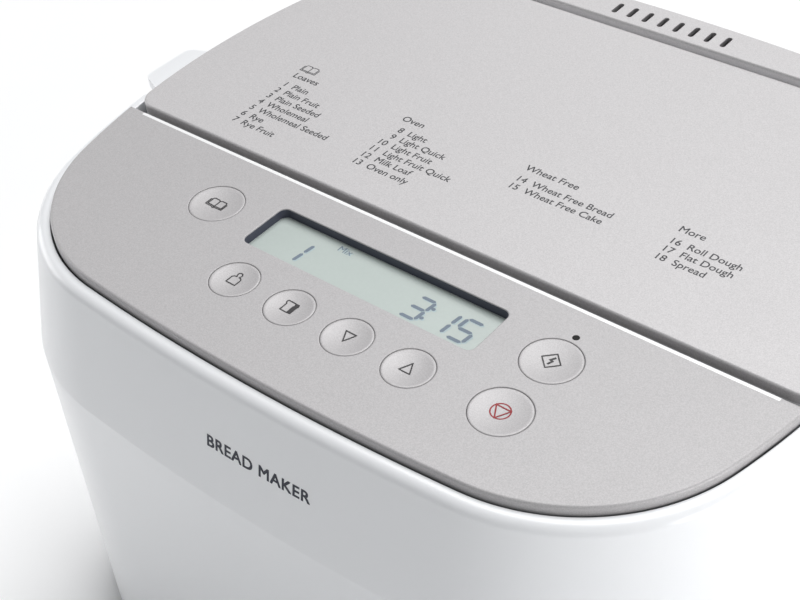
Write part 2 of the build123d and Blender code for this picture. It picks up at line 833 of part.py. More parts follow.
frame_bottom = lid_bottom - lid_frame_thickness
with BuildPart() as lid_inner_frame:
    with BuildSketch(Plane.XY.offset(frame_bottom)):
        add(lid_face())
        add(chamber_face(-2 * lid_liner_rise), mode=Mode.SUBTRACT)
        with Locations((0, chamber_y)):
            with GridLocations(lid_screw_spread_x, lid_screw_spread_y, 2, 2):
                Circle(screw_radius + clearance, mode=Mode.SUBTRACT)
    extrude(amount=lid_frame_thickness)
    add(lid_limit.part, mode=Mode.INTERSECT)
    add(hinge_slots.part, mode=Mode.SUBTRACT)

with BuildPart() as lid_liner:
    with BuildSketch(Plane.XY.offset(lid_bottom)):
        add(chamber_face(-lid_liner_rise))
    extrude(amount=lid_liner_thickness)

with BuildPart() as lid_seal:
    with BuildSketch(Plane.XY.offset(deck_top + clearance)):
        add(chamber_face(seal_inset + seal_width))
        add(chamber_face(seal_inset), mode=Mode.SUBTRACT)
    extrude(amount=frame_bottom - deck_top - clearance)

with BuildPart() as lid_screws:
    with BuildSketch(Plane.XY.offset(frame_bottom - screw_head_height)):
        with Locations((0, chamber_y)):
            with GridLocations(lid_screw_spread_x, lid_screw_spread_y, 2, 2):
                Circle(screw_head_radius)
    extrude(amount=screw_head_height)
    with BuildSketch(Plane.XY.offset(frame_bottom)):
        with Locations((0, chamber_y)):
            with GridLocations(lid_screw_spread_x, lid_screw_spread_y, 2, 2):
                Circle(screw_radius - seat_fit)
    extrude(amount=screw_length)

# ---- Hinge brackets on the deck, and their pins
with BuildPart() as hinge_brackets:
    with BuildSketch(Plane.XY.offset(deck_top)):
        with Locations((0, hinge_y)):
            with GridLocations(2 * hinge_spread, 1.0, 2, 1):
                Rectangle(hinge_bracket_width, hinge_bracket_depth)
    extrude(amount=hinge_z - deck_top)
    with Locations((0, hinge_y, hinge_z)):
        with GridLocations(2 * hinge_spread, 1.0, 2, 1):
            Cylinder(hinge_bracket_depth / 2, hinge_bracket_width, rotation=(0, 90, 0))
            Cylinder(
                hinge_pin_radius + seat_fit, 2 * hinge_bracket_width, rotation=(0, 90, 0), mode=Mode.SUBTRACT
            )

with BuildPart() as hinge_pins:
    with Locations((0, hinge_y, hinge_z)):
        with GridLocations(2 * hinge_spread, 1.0, 2, 1):
            Cylinder(hinge_pin_radius, hinge_pin_length, rotation=(0, 90, 0))

# ---- Baking chamber: a steel tub hung from the deck by its flange
heater_z = chamber_floor + heater_rise
heater_half_x = chamber_length / 2 - heater_wall_gap
heater_front_y = chamber_front_y + heater_wall_gap
heater_rear_y = chamber_rear_y - heater_wall_gap
lead_end_y = chamber_front_y - heater_lead_out


def front_wall_holes(margin):
    """Cutters along Y for the heater's two leads and the temperature probe."""
    with BuildPart() as cutters:
        with BuildSketch(Plane.XZ.offset(-chamber_front_y - heater_wall_gap)):
            with Locations((-heater_lead_x, heater_z), (heater_lead_x, heater_z)):
                Circle(heater_radius + margin)
            with Locations((sensor_x, sensor_height)):
                Circle(sensor_radius + margin)
        extrude(amount=4 * shield_gap)
    return cutters.part


with BuildPart() as baking_chamber:
    with BuildSketch(Plane.XY.offset(chamber_floor)):
        add(chamber_face(chamber_wall))
    extrude(amount=deck_bottom - chamber_floor)
    fillet(baking_chamber.faces().sort_by(Axis.Z)[0].edges(), chamber_base_rounding + chamber_wall)
    with BuildSketch(Plane.XY.offset(deck_bottom - chamber_flange_thickness)):
        add(chamber_face(chamber_flange))
    extrude(amount=chamber_flange_thickness)
    with BuildPart(mode=Mode.PRIVATE) as chamber_inside:
        with BuildSketch(Plane.XY.offset(floor_top)):
            add(chamber_face())
        extrude(amount=overall_height)
        fillet(chamber_inside.faces().sort_by(Axis.Z)[0].edges(), chamber_base_rounding)
    add(chamber_inside.part, mode=Mode.SUBTRACT)
    with BuildSketch(Plane.XY.offset(chamber_floor)):
        with Locations((0, chamber_y)):
            Circle(shaft_radius + shaft_hole_gap)
    extrude(amount=chamber_wall, mode=Mode.SUBTRACT)
    with BuildSketch(Plane.XY.offset(deck_bottom - chamber_flange_thickness)):
        with Locations((0, chamber_y)):
            with GridLocations(deck_screw_spread_x, deck_screw_spread_y / 2, 2, 2):
                Circle(screw_radius)
    extrude(amount=chamber_flange_thickness, mode=Mode.SUBTRACT)
    add(front_wall_holes(seat_fit), mode=Mode.SUBTRACT)

with BuildPart() as heat_shield:
    with BuildSketch(Plane.XY.offset(chamber_floor + shield_rise)):
        add(chamber_face(shield_gap + chamber_wall))
        add(chamber_face(shield_gap), mode=Mode.SUBTRACT)
    extrude(amount=deck_bottom - chamber_flange_thickness - chamber_floor - shield_rise)
    add(front_wall_holes(shield_hole_gap), mode=Mode.SUBTRACT)

# ---- Heater loop, its clips, terminals and the temperature probe
with BuildPart() as heating_element:
    with BuildLine() as heater_path:
        FilletPolyline(
            (-heater_lead_x, lead_end_y, heater_z),
            (-heater_lead_x, heater_front_y, heater_z),
            (-heater_half_x, heater_front_y, heater_z),
            (-heater_half_x, heater_rear_y, heater_z),
            (heater_half_x, heater_rear_y, heater_z),
            (heater_half_x, heater_front_y, heater_z),
            (heater_lead_x, heater_front_y, heater_z),
            (heater_lead_x, lead_end_y, heater_z),
            radius=[heater_lead_bend] + 4 * [heater_corner] + [heater_lead_bend],
        )
    with BuildSketch(Plane.XZ.offset(-lead_end_y)):
        with Locations((-heater_lead_x, heater_z)):
            Circle(heater_radius)
    sweep(path=heater_path.line)

with BuildPart() as heater_clips:
    clip_length = chamber_length / 2 - heater_half_x
    for side in (-1, 1):
        with Locations((side * (heater_half_x + clip_length / 2), chamber_y, heater_z)):
            with GridLocations(1.0, clip_spacing, 1, 2):
                Box(clip_length, clip_width, 2.4 * heater_radius)
        with Locations((side * heater_half_x, chamber_y, heater_z)):
            Cylinder(heater_radius + seat_fit, chamber_depth, rotation=(90, 0, 0), mode=Mode.SUBTRACT)

with BuildPart() as heater_terminals:
    with BuildSketch(Plane.XZ.offset(-lead_end_y)):
        with Locations((-heater_lead_x, heater_z), (heater_lead_x, heater_z)):
            Circle(heater_terminal_radius)
    extrude(amount=heater_terminal_length)

with BuildPart() as chamber_sensor:
    with BuildSketch(Plane.XZ.offset(-chamber_front_y - heater_wall_gap)):
        with Locations((sensor_x, sensor_height)):
            Circle(sensor_radius)
    extrude(amount=sensor_length)

# ---- Bread pan with its base ring, rim and handle lugs
pan_rim_z = deck_top - pan_rim_drop
pan_half_length = chamber_length / 2 - pan_clearance - pan_rim_width
lug_x = pan_half_length + handle_lug_wall / 2
handle_z = pan_rim_z + handle_lug_height / 2
bush_outer = bush_radius + bush_rim
with BuildPart() as bread_pan:
    with BuildSketch(Plane.XY.offset(pan_floor)):
        add(pan_face(pan_taper))
    with BuildSketch(Plane.XY.offset(pan_rim_z)):
        add(pan_face())
    loft(ruled=True)
    with BuildSketch(Plane.XY.offset(pan_rim_z - pan_wall)):
        add(pan_face(-pan_rim_width))
    extrude(amount=pan_wall)
    with BuildSketch(Plane.XY.offset(pan_floor + pan_wall)):
        add(pan_face(pan_taper + pan_wall))
    with BuildSketch(Plane.XY.offset(pan_rim_z)):
        add(pan_face(pan_wall))
    loft(ruled=True, mode=Mode.SUBTRACT)
    with BuildSketch(Plane.XY.offset(floor_top + clearance)):
        with Locations((0, chamber_y)):
            Circle(pan_ring_radius)
            Circle(pan_ring_radius - pan_ring_wall, mode=Mode.SUBTRACT)
    extrude(amount=pan_floor - floor_top - clearance)
    with BuildSketch(Plane.XY.offset(pan_floor)):
        with Locations((0, chamber_y)):
            Circle(bush_outer + seat_fit)
    extrude(amount=pan_wall, mode=Mode.SUBTRACT)
    with BuildSketch(Plane.XY.offset(pan_rim_z)):
        with Locations((-lug_x, chamber_y), (lug_x, chamber_y)):
            Rectangle(handle_lug_wall, handle_lug_width)
    extrude(amount=handle_lug_height)
    with Locations((0, chamber_y, handle_z)):
        Cylinder(handle_radius + running_fit, chamber_length, rotation=(0, 90, 0), mode=Mode.SUBTRACT)

drive_plate_bottom = floor_top + coupler_rise
drive_plate_top = drive_plate_bottom + coupler_plate
pan_plate_bottom = drive_plate_top + dog_height + clearance
pan_plate_top = pan_plate_bottom + coupler_plate
with BuildPart() as pan_bush:
    with BuildSketch(Plane.XY.offset(pan_plate_top + 1.5)):
        with Locations((0, chamber_y)):
            Circle(bush_outer)
            Circle(shaft_radius + running_fit, mode=Mode.SUBTRACT)
    extrude(amount=pan_floor + pan_wall + 1.0 - pan_plate_top - 1.5)

with BuildPart() as pan_seat:
    with BuildSketch(Plane.XY.offset(floor_top)):
        with Locations((0, chamber_y)):
            Circle(pan_ring_radius + clearance + seat_wall)
            Circle(pan_ring_radius + clearance, mode=Mode.SUBTRACT)
    extrude(amount=seat_height)

handle_x = lug_x + handle_lug_wall / 2 + handle_lug_gap + handle_radius
handle_front_y = chamber_front_y + pan_clearance + pan_rim_width
with BuildPart() as pan_handle:
    with BuildLine() as handle_path:
        FilletPolyline(
            (-lug_x, chamber_y, handle_z),
            (-handle_x, chamber_y, handle_z),
            (-handle_x, handle_front_y, handle_z),
            (handle_x, handle_front_y, handle_z),
            (handle_x, chamber_y, handle_z),
            (lug_x, chamber_y, handle_z),
            radius=[handle_radius + 0.1, pan_corner, pan_corner, handle_radius + 0.1],
        )
    with BuildSketch(Plane.YZ.offset(-lug_x)):
        with Locations((chamber_y, handle_z)):
            Circle(handle_radius)
    sweep(path=handle_path.line)

# ---- Kneading blade, its shaft and the pan's coupler
blade_bottom = pan_floor + pan_wall + blade_rise
with BuildPart() as kneading_blade:
    with BuildSketch(Plane.XY.offset(blade_bottom)):
        with Locations((0, chamber_y)):
            Circle(blade_hub_radius)
        with Locations((blade_length / 2, chamber_y)):
            SlotOverall(blade_length, blade_thickness)
    extrude(amount=blade_height)
    fillet(kneading_blade.faces().sort_by(Axis.Z)[-1].edges(), blade_rounding)
    with BuildSketch(Plane.XY.offset(blade_bottom)):
        with Locations((0, chamber_y)):
            Circle(shaft_radius + seat_fit)
    extrude(amount=blade_height - blade_cap, mode=Mode.SUBTRACT)

with BuildPart() as blade_shaft:
    with BuildSketch(Plane.XY.offset(pan_plate_bottom)):
        with Locations((0, chamber_y)):
            Circle(shaft_radius)
    extrude(amount=blade_bottom + blade_height - blade_cap - blade_shaft_gap - pan_plate_bottom)

with BuildPart() as pan_coupler:
    with BuildSketch(Plane.XY.offset(pan_plate_bottom)):
        with Locations((0, chamber_y)):
            Circle(dog_radius)
            Circle(shaft_radius + seat_fit, mode=Mode.SUBTRACT)
    extrude(amount=coupler_plate)
    with BuildSketch(Plane.XY.offset(pan_plate_bottom)):
        with Locations((0, chamber_y)):
            Rectangle(dog_width, 2 * (dog_radius - dog_inset))
            Circle(coupler_hub_radius, mode=Mode.SUBTRACT)
    extrude(amount=clearance - dog_height)

with BuildPart() as drive_coupler:
    with BuildSketch(Plane.XY.offset(drive_plate_bottom)):
        with Locations((0, chamber_y)):
            Circle(dog_radius)
            Circle(shaft_radius + seat_fit, mode=Mode.SUBTRACT)
    extrude(amount=coupler_plate)
    with BuildSketch(Plane.XY.offset(drive_plate_top)):
        with Locations((0, chamber_y)):
            Rectangle(2 * (dog_radius - dog_inset), dog_width)
            Circle(coupler_hub_radius, mode=Mode.SUBTRACT)
    extrude(amount=dog_height)

# ---- Drive shaft, its pulley, housing and bushes
frame_top = frame_height + frame_thickness
with BuildPart() as drive_shaft:
    with BuildSketch(Plane.XY.offset(shaft_bottom)):
        with Locations((0, chamber_y)):
            Circle(shaft_radius)
    extrude(amount=drive_plate_top - shaft_bottom)

belt_middle = pulley_bottom + pulley_height / 2
groove_depth = belt_thickness + belt_sink


def pulley(radius, bore, centre_y):
    """A flat-bottomed belt pulley with two flanges."""
    with BuildPart() as wheel:
        with BuildSketch(Plane.XY.offset(pulley_bottom)):
            with Locations((0, centre_y)):
                Circle(radius)
                Circle(bore, mode=Mode.SUBTRACT)
        extrude(amount=pulley_height)
        with BuildSketch(Plane.XY.offset(belt_middle - belt_width / 2 - clearance)):
            with Locations((0, centre_y)):
                Circle(radius + 1.0)
                Circle(radius - groove_depth, mode=Mode.SUBTRACT)
        extrude(amount=belt_width + 2 * clearance, mode=Mode.SUBTRACT)
    return wheel


drive_pulley = pulley(pulley_radius, shaft_radius + seat_fit, chamber_y)
motor_pulley = pulley(motor_pulley_radius, motor_shaft_radius + seat_fit, motor_y)

belt_inner = belt_gap - groove_depth
belt_outer = belt_inner + belt_thickness


def belt_loop(grow):
    """The belt's outline round both pulleys, grown from the pulleys' edges by grow."""
    with BuildSketch() as loop:
        with BuildLine():
            CenterArc((0, chamber_y), pulley_radius + grow, 0, 360)
            CenterArc((0, motor_y), motor_pulley_radius + grow, 0, 360)
        make_hull()
    return loop.sketch


with BuildPart() as drive_belt:
    with BuildSketch(Plane.XY.offset(belt_middle - belt_width / 2)):
        add(belt_loop(belt_outer))
        add(belt_loop(belt_inner), mode=Mode.SUBTRACT)
    extrude(amount=belt_width)

with BuildPart() as bearing_housing:
    with BuildSketch(Plane.XY.offset(frame_top)):
        with Locations((0, chamber_y)):
            Circle(housing_radius)
            Circle(bush_radius + seat_fit, mode=Mode.SUBTRACT)
    extrude(amount=chamber_floor - frame_top)

with BuildPart() as shaft_bushes:
    for bush_bottom in (frame_top, chamber_floor - bush_length):
        with BuildSketch(Plane.XY.offset(bush_bottom)):
            with Locations((0, chamber_y)):
                Circle(bush_radius)
                Circle(shaft_radius + running_fit, mode=Mode.SUBTRACT)
        extrude(amount=bush_length)

# ---- Drive frame: a plate on legs that carries the motor and the shaft's housing
frame_front_y = motor_y - stator_size / 2 - frame_margin
frame_rear_y = chamber_y + frame_half_width
leg_spread_x = 2 * frame_half_width - frame_leg
leg_spread_y = frame_rear_y - frame_front_y - frame_leg
with BuildPart() as drive_frame:
    with BuildSketch(Plane.XY.offset(frame_height)):
        with Locations((0, (frame_front_y + frame_rear_y) / 2)):
            Rectangle(2 * frame_half_width, frame_rear_y - frame_front_y)
        with Locations((0, chamber_y)):
            Circle(shaft_radius + frame_hole_gap, mode=Mode.SUBTRACT)
        with Locations((0, motor_y)):
            Circle(motor_pulley_radius + frame_hole_gap, mode=Mode.SUBTRACT)
    extrude(amount=frame_thickness)
    with BuildSketch(Plane.XY.offset(base_top)):
        with Locations((0, (frame_front_y + frame_rear_y) / 2)):
            with GridLocations(leg_spread_x, leg_spread_y, 2, 2):
                Rectangle(frame_leg, frame_leg)
    extrude(amount=frame_height - base_top)

# ---- Motor: end bells, stator stack, coils and the rotor with its shaft
stator_bottom = frame_top + bell_height
stator_top = stator_bottom + stator_height
with BuildPart() as motor_bells:
    for bell_bottom, cup_bottom in ((frame_top, frame_top + bell_wall), (stator_top, stator_top)):
        with BuildSketch(Plane.XY.offset(bell_bottom)):
            with Locations((0, motor_y)):
                Circle(bell_radius)
                Circle(motor_shaft_radius + running_fit, mode=Mode.SUBTRACT)
        extrude(amount=bell_height)
        with BuildSketch(Plane.XY.offset(cup_bottom)):
            with Locations((0, motor_y)):
                Circle(bell_radius - bell_wall)
        extrude(amount=bell_height - bell_wall, mode=Mode.SUBTRACT)

with BuildPart() as motor_stator:
    with BuildSketch(Plane.XY.offset(stator_bottom)):
        with Locations((0, motor_y)):
            RectangleRounded(stator_size, stator_size, stator_corner)
            Circle(stator_bore, mode=Mode.SUBTRACT)
    extrude(amount=stator_height)

with BuildPart() as motor_coils:
    for coil_bottom in (stator_bottom - coil_height, stator_top):
        with BuildSketch(Plane.XY.offset(coil_bottom)):
            with Locations((0, motor_y)):
                Circle(coil_outer)
                Circle(stator_bore + coil_gap, mode=Mode.SUBTRACT)
        extrude(amount=coil_height)

with BuildPart() as motor_rotor:
    with BuildSketch(Plane.XY.offset(stator_bottom + rotor_inset)):
        with Locations((0, motor_y)):
            Circle(stator_bore - rotor_gap)
    extrude(amount=stator_height - 2 * rotor_inset)
    with BuildSketch(Plane.XY.offset(pulley_bottom - motor_shaft_foot)):
        with Locations((0, motor_y)):
            Circle(motor_shaft_radius)
    extrude(amount=stator_top + bell_height + motor_shaft_head - pulley_bottom + motor_shaft_foot)

with BuildPart() as run_capacitor:
    with BuildSketch(Plane.XY.offset(base_top)):
        with Locations((capacitor_x, motor_y)):
            Circle(capacitor_radius)
    extrude(amount=capacitor_height)
    fillet(run_capacitor.faces().sort_by(Axis.Z)[-1].edges(), capacitor_rounding)

# ---- Power board on its standoffs, and what stands on it
power_board_bottom = base_top + power_board_rise
power_board_top = power_board_bottom + board_thickness
power_standoff_x = power_board_length - 4 * standoff_radius
power_standoff_y = power_board_depth - 4 * standoff_radius
with BuildPart() as power_board:
    with BuildSketch(Plane.XY.offset(power_board_bottom)):
        with Locations((power_board_x, motor_y)):
            Rectangle(power_board_length, power_board_depth)
    extrude(amount=board_thickness)
    with BuildSketch(Plane.XY.offset(base_top)):
        with Locations((power_board_x, motor_y)):
            with GridLocations(power_standoff_x, power_standoff_y, 2, 2):
                Circle(standoff_radius)
    extrude(amount=power_board_bottom - base_top)

with BuildPart() as power_components:
    for part_x, part_y, part_length, part_depth, part_height in power_blocks:
        with BuildSketch(Plane.XY.offset(power_board_top)):
            with Locations((power_board_x + part_x, motor_y + part_y)):
                Rectangle(part_length, part_depth)
        extrude(amount=part_height)

# ---- Cord gland in the rear wall
with BuildPart() as cord_gland:
    with BuildSketch(Plane.XZ.offset(-gland_seat_y)):
        with Locations((gland_x, gland_height)):
            Circle(gland_flange_radius)
    extrude(amount=-gland_flange_thickness)
    with BuildSketch(Plane.XZ.offset(-gland_seat_y)):
        with Locations((gland_x, gland_height)):
            Circle(gland_body_radius)
    extrude(amount=gland_length - gland_flange_thickness)
    with BuildSketch(Plane.XZ.offset(-overall_depth / 2)):
        with Locations((gland_x, gland_height)):
            Circle(gland_bore)
    extrude(amount=2 * gland_length, mode=Mode.SUBTRACT)

# ---- Write every piece
pieces = {
    "outer_case": outer_case,
    "base_plate": base_plate,
    "base_screws": base_screws,
    "rubber_feet": rubber_feet,
    "top_deck": top_deck,
    "deck_screws": deck_screws,
    "rear_cover": rear_cover,
    "control_panel": control_panel,
    "panel_carrier": panel_carrier,
    "display_bezel": display_bezel,
    "display_glass": display_glass,
    "display_module": display_module,
    "control_board": control_board,
    "key_switches": key_switches,
    "status_led": status_led,
    **key_parts,
    "lid_plate": lid_plate,
    "lid_shell": lid_shell,
    "lid_inner_frame": lid_inner_frame,
    "lid_liner": lid_liner,
    "lid_seal": lid_seal,
    "lid_screws": lid_screws,
    "hinge_brackets": hinge_brackets,
    "hinge_pins": hinge_pins,
    "baking_chamber": baking_chamber,
    "heat_shield": heat_shield,
    "heating_element": heating_element,
    "heater_clips": heater_clips,
    "heater_terminals": heater_terminals,
    "chamber_sensor": chamber_sensor,
    "bread_pan": bread_pan,
    "pan_bush": pan_bush,
    "pan_seat": pan_seat,
    "pan_handle": pan_handle,
    "kneading_blade": kneading_blade,
    "blade_shaft": blade_shaft,
    "pan_coupler": pan_coupler,
    "drive_coupler": drive_coupler,
    "drive_shaft": drive_shaft,
    "drive_pulley": drive_pulley,
    "motor_pulley": motor_pulley,
    "drive_belt": drive_belt,
    "bearing_housing": bearing_housing,
    "shaft_bushes": shaft_bushes,
    "drive_frame": drive_frame,
    "motor_bells": motor_bells,
    "motor_stator": motor_stator,
    "motor_coils": motor_coils,
    "motor_rotor": motor_rotor,
    "run_capacitor": run_capacitor,
    "power_board": power_board,
    "power_components": power_components,
    "cord_gland": cord_gland,
}
os.makedirs("parts", exist_ok=True)
for name, piece in pieces.items():
    piece.part.label = name
    export_step(piece.part, f"parts/{name}.step")
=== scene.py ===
"""Looks of the bread machine: white flared case, champagne lacquered top, dished keys and the baking chamber.

Every length is in metres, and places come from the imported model's nodes. Sizes that a node doesn't show are
named below.
"""

import math

import bmesh
import bpy
import numpy as np
from mathutils import Matrix, Vector
from mathutils.geometry import delaunay_2d_cdt


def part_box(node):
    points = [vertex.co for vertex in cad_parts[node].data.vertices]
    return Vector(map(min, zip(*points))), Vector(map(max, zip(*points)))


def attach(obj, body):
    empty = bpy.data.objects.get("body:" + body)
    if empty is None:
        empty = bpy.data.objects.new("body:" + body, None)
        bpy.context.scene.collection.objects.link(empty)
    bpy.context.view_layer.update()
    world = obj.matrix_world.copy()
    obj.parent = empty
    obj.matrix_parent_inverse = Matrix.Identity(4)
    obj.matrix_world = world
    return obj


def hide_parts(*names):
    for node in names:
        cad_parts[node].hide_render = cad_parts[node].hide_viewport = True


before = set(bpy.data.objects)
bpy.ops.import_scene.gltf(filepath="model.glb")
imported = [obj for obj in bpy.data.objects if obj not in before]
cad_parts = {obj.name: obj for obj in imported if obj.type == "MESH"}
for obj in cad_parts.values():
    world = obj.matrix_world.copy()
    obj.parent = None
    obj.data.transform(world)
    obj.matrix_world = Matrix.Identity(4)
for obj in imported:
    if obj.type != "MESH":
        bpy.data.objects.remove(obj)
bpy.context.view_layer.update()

MM = 0.001

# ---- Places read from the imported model
case_low, case_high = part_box("outer_case")
panel_low, panel_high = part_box("control_panel")
lid_low, lid_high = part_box("lid_plate")
shell_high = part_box("lid_shell")[1]
glass_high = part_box("display_glass")[1]
module_low, module_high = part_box("display_module")
deck_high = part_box("top_deck")[1]

plate_top = lid_high.z
half_width = lid_high.x
half_depth = -panel_low.y
rim_top = case_high.z

# ---- Shape of the outline shared by the plates, the rim and the walls
FRONT_RADIUS = 1160 * MM
SIDE_RADIUS = 375 * MM
CORNER_RADIUS = 85 * MM
RIM_WIDTH = 6.9 * MM
FLARE_REACH = 11.5 * MM
FLARE_HEIGHT = 60 * MM
WALL = 2.5 * MM
PLATE_GAP = 0.8 * MM
PLATE_SINK = 0.05 * MM
PRINT_LIFT = 0.012 * MM
wall_grow = case_high.x - half_width


# ---------------------------------------------------------------- shapes

def unit(vector):
    """The vector, or each row of an array of vectors, at length one."""
    vector = np.asarray(vector, float)
    return vector / np.linalg.norm(vector, axis=-1, keepdims=True)


def arc(centre, radius, start, end, count):
    """Points on an arc: centre + radius (cos a, sin a), with the angle a running evenly from start to end."""
    angle = np.linspace(start, end, count)
    return np.asarray(centre) + radius * np.c_[np.cos(angle), np.sin(angle)]


def outline(grow=0.0, fine=1):
    """Closed outline, anticlockwise from above: a shallow front bow, a side bow and the corner arc that
    touches both from inside, mirrored into four quarters. Growing it adds to every radius, centres kept."""
    front = np.array([0.0, FRONT_RADIUS - half_depth])
    side = np.array([half_width - SIDE_RADIUS, 0.0])
    apart = side - front
    gap = np.linalg.norm(apart)
    to_front, to_side = FRONT_RADIUS - CORNER_RADIUS, SIDE_RADIUS - CORNER_RADIUS
    along = (gap**2 + to_front**2 - to_side**2) / (2 * gap)
    across = math.sqrt(to_front**2 - along**2)
    ahead = apart / gap
    corner = front + ahead * along + np.array([-ahead[1], ahead[0]]) * across
    angle_front = math.atan2(*(corner - front)[::-1])
    angle_side = math.atan2(*(corner - side)[::-1])
    quarter = np.r_[
        arc(front, FRONT_RADIUS + grow, -math.pi / 2, angle_front, 14 * fine)[:-1],
        arc(corner, CORNER_RADIUS + grow, angle_front, angle_side, 26 * fine)[:-1],
        arc(side, SIDE_RADIUS + grow, angle_side, 0.0, 30 * fine),
    ]
    right = np.r_[quarter, (quarter * [1, -1])[::-1][1:]]
    return np.r_[right, (right * [-1, 1])[::-1][1:-1]]


def soften(points, radii, steps=6):
    """An open path with each inner corner turned into the arc of its radius, tangent to both of its runs."""
    points = np.asarray(points, float)
    out = [points[:1]]
    for before, here, after, radius in zip(points, points[1:], points[2:], radii):
        if radius <= 0:
            out.append(here[None])
            continue
        toward, away = unit(before - here), unit(after - here)
        half = math.acos(np.clip(toward @ away, -1, 1)) / 2
        reach = radius / math.tan(half)
        centre = here + unit(toward + away) * radius / math.sin(half)
        share = np.linspace(0, 1, steps + 1)[:, None]
        spoke = unit((here + toward * reach - centre) * (1 - share) + (here + away * reach - centre) * share)
        out.append(centre + spoke * radius)
    out.append(points[-1:])
    return np.concatenate(out)


def outward(loop):
    """Unit normals of a closed anticlockwise loop, pointing out of it."""
    run = unit(np.roll(loop, -1, 0) - np.roll(loop, 1, 0))
    return np.c_[run[:, 1], -run[:, 0]]


def band(loop, profile):
    """A closed loop carried along a profile of (distance outwards, height): one ring for each profile row."""
    normal = outward(loop)
    rings = loop[None] + profile[:, 0, None, None] * normal[None]
    height = np.broadcast_to(profile[:, 1, None, None], rings.shape[:2] + (1,))
    return np.concatenate([rings, height], axis=2)


def grid_faces(rows, columns, close_rows=False, close_columns=True, first=0, flip=False):
    """Quads over a grid of points numbered row by row, joined round each row where it is closed."""
    row = np.arange(rows if close_rows else rows - 1)[:, None]
    column = np.arange(columns if close_columns else columns - 1)[None]
    next_row, next_column = (row + 1) % rows, (column + 1) % columns
    here, above = row * columns, next_row * columns
    quads = np.stack(
        [here + column, here + next_column, above + next_column, above + column], axis=-1
    ).reshape(-1, 4)
    return (quads[:, ::-1] if flip else quads) + first


class Surface:
    """Gathers grids and filled outlines into one mesh."""

    def __init__(self):
        self.points, self.faces, self.count = [], [], 0

    def grid(self, points, **how):
        rows, columns = points.shape[:2]
        self.faces += grid_faces(rows, columns, first=self.count, **how).tolist()
        self.add_points(points.reshape(-1, 3))

    def add_points(self, points):
        self.points.append(np.asarray(points, float))
        self.count += len(points)

    def fill(self, loops, height, flip=False):
        """A flat face inside the first loop and outside the others, at one height."""
        flat = [Vector(point) for loop in loops for point in loop]
        edges, start = [], 0
        for loop in loops:
            ring = np.arange(len(loop)) + start
            edges += np.c_[ring, np.roll(ring, -1)].tolist()
            start += len(loop)
        made, _, faces, *_ = delaunay_2d_cdt(flat, edges, [], 1, 1e-9)
        made = np.array([tuple(point) for point in made])
        inside = np.ones(len(faces), bool)
        centres = np.array([made[list(face)].mean(0) for face in faces])
        for loop in loops[1:]:
            middle, reach = loop.mean(0), np.abs(loop - loop.mean(0)).max(0)
            near = np.abs(centres - middle) < reach * 1.001
            hits = near.all(1)
            inside[hits] &= ~points_in(centres[hits], loop)
        self.faces += [
            [index + self.count for index in (face[::-1] if flip else face)]
            for face, keep in zip(faces, inside) if keep
        ]
        self.add_points(np.c_[made, np.full(len(made), height)])

    def piece(self, name, material, body, slot, sharp=35, merge=1e-6):
        """Makes the object, merges doubled points and smooths the shading up to the sharp angle (degrees)."""
        mesh = bpy.data.meshes.new(name)
        mesh.from_pydata(np.concatenate(self.points).tolist(), [], self.faces)
        return finish_piece(name, mesh, material, body, sharp, merge)


def points_in(points, loop):
    """Which points lie inside a loop, by counting the loop's edges to their right."""
    a, b = loop[None], np.roll(loop, -1, 0)[None]
    x, y = points[:, None, 0], points[:, None, 1]
    crosses = (a[..., 1] > y) != (b[..., 1] > y)
    rise = np.where(crosses, b[..., 1] - a[..., 1], 1.0)
    reach = a[..., 0] + (y - a[..., 1]) * (b[..., 0] - a[..., 0]) / rise
    return (crosses & (x < reach)).sum(1) % 2 == 1


def finish_piece(name, mesh, material, body, sharp=35, merge=1e-6):
    """Links a mesh as a piece that rides on a body, with the material it is given."""
    work = bmesh.new()
    work.from_mesh(mesh)
    if merge:
        bmesh.ops.remove_doubles(work, verts=work.verts, dist=merge)
    work.to_mesh(mesh)
    work.free()
    mesh.materials.append(material)
    mesh.shade_smooth()
    mesh.set_sharp_from_angle(angle=math.radians(sharp))
    piece = bpy.data.objects.new(name, mesh)
    bpy.context.scene.collection.objects.link(piece)
    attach(piece, body)
    return piece


# ---------------------------------------------------------------- materials

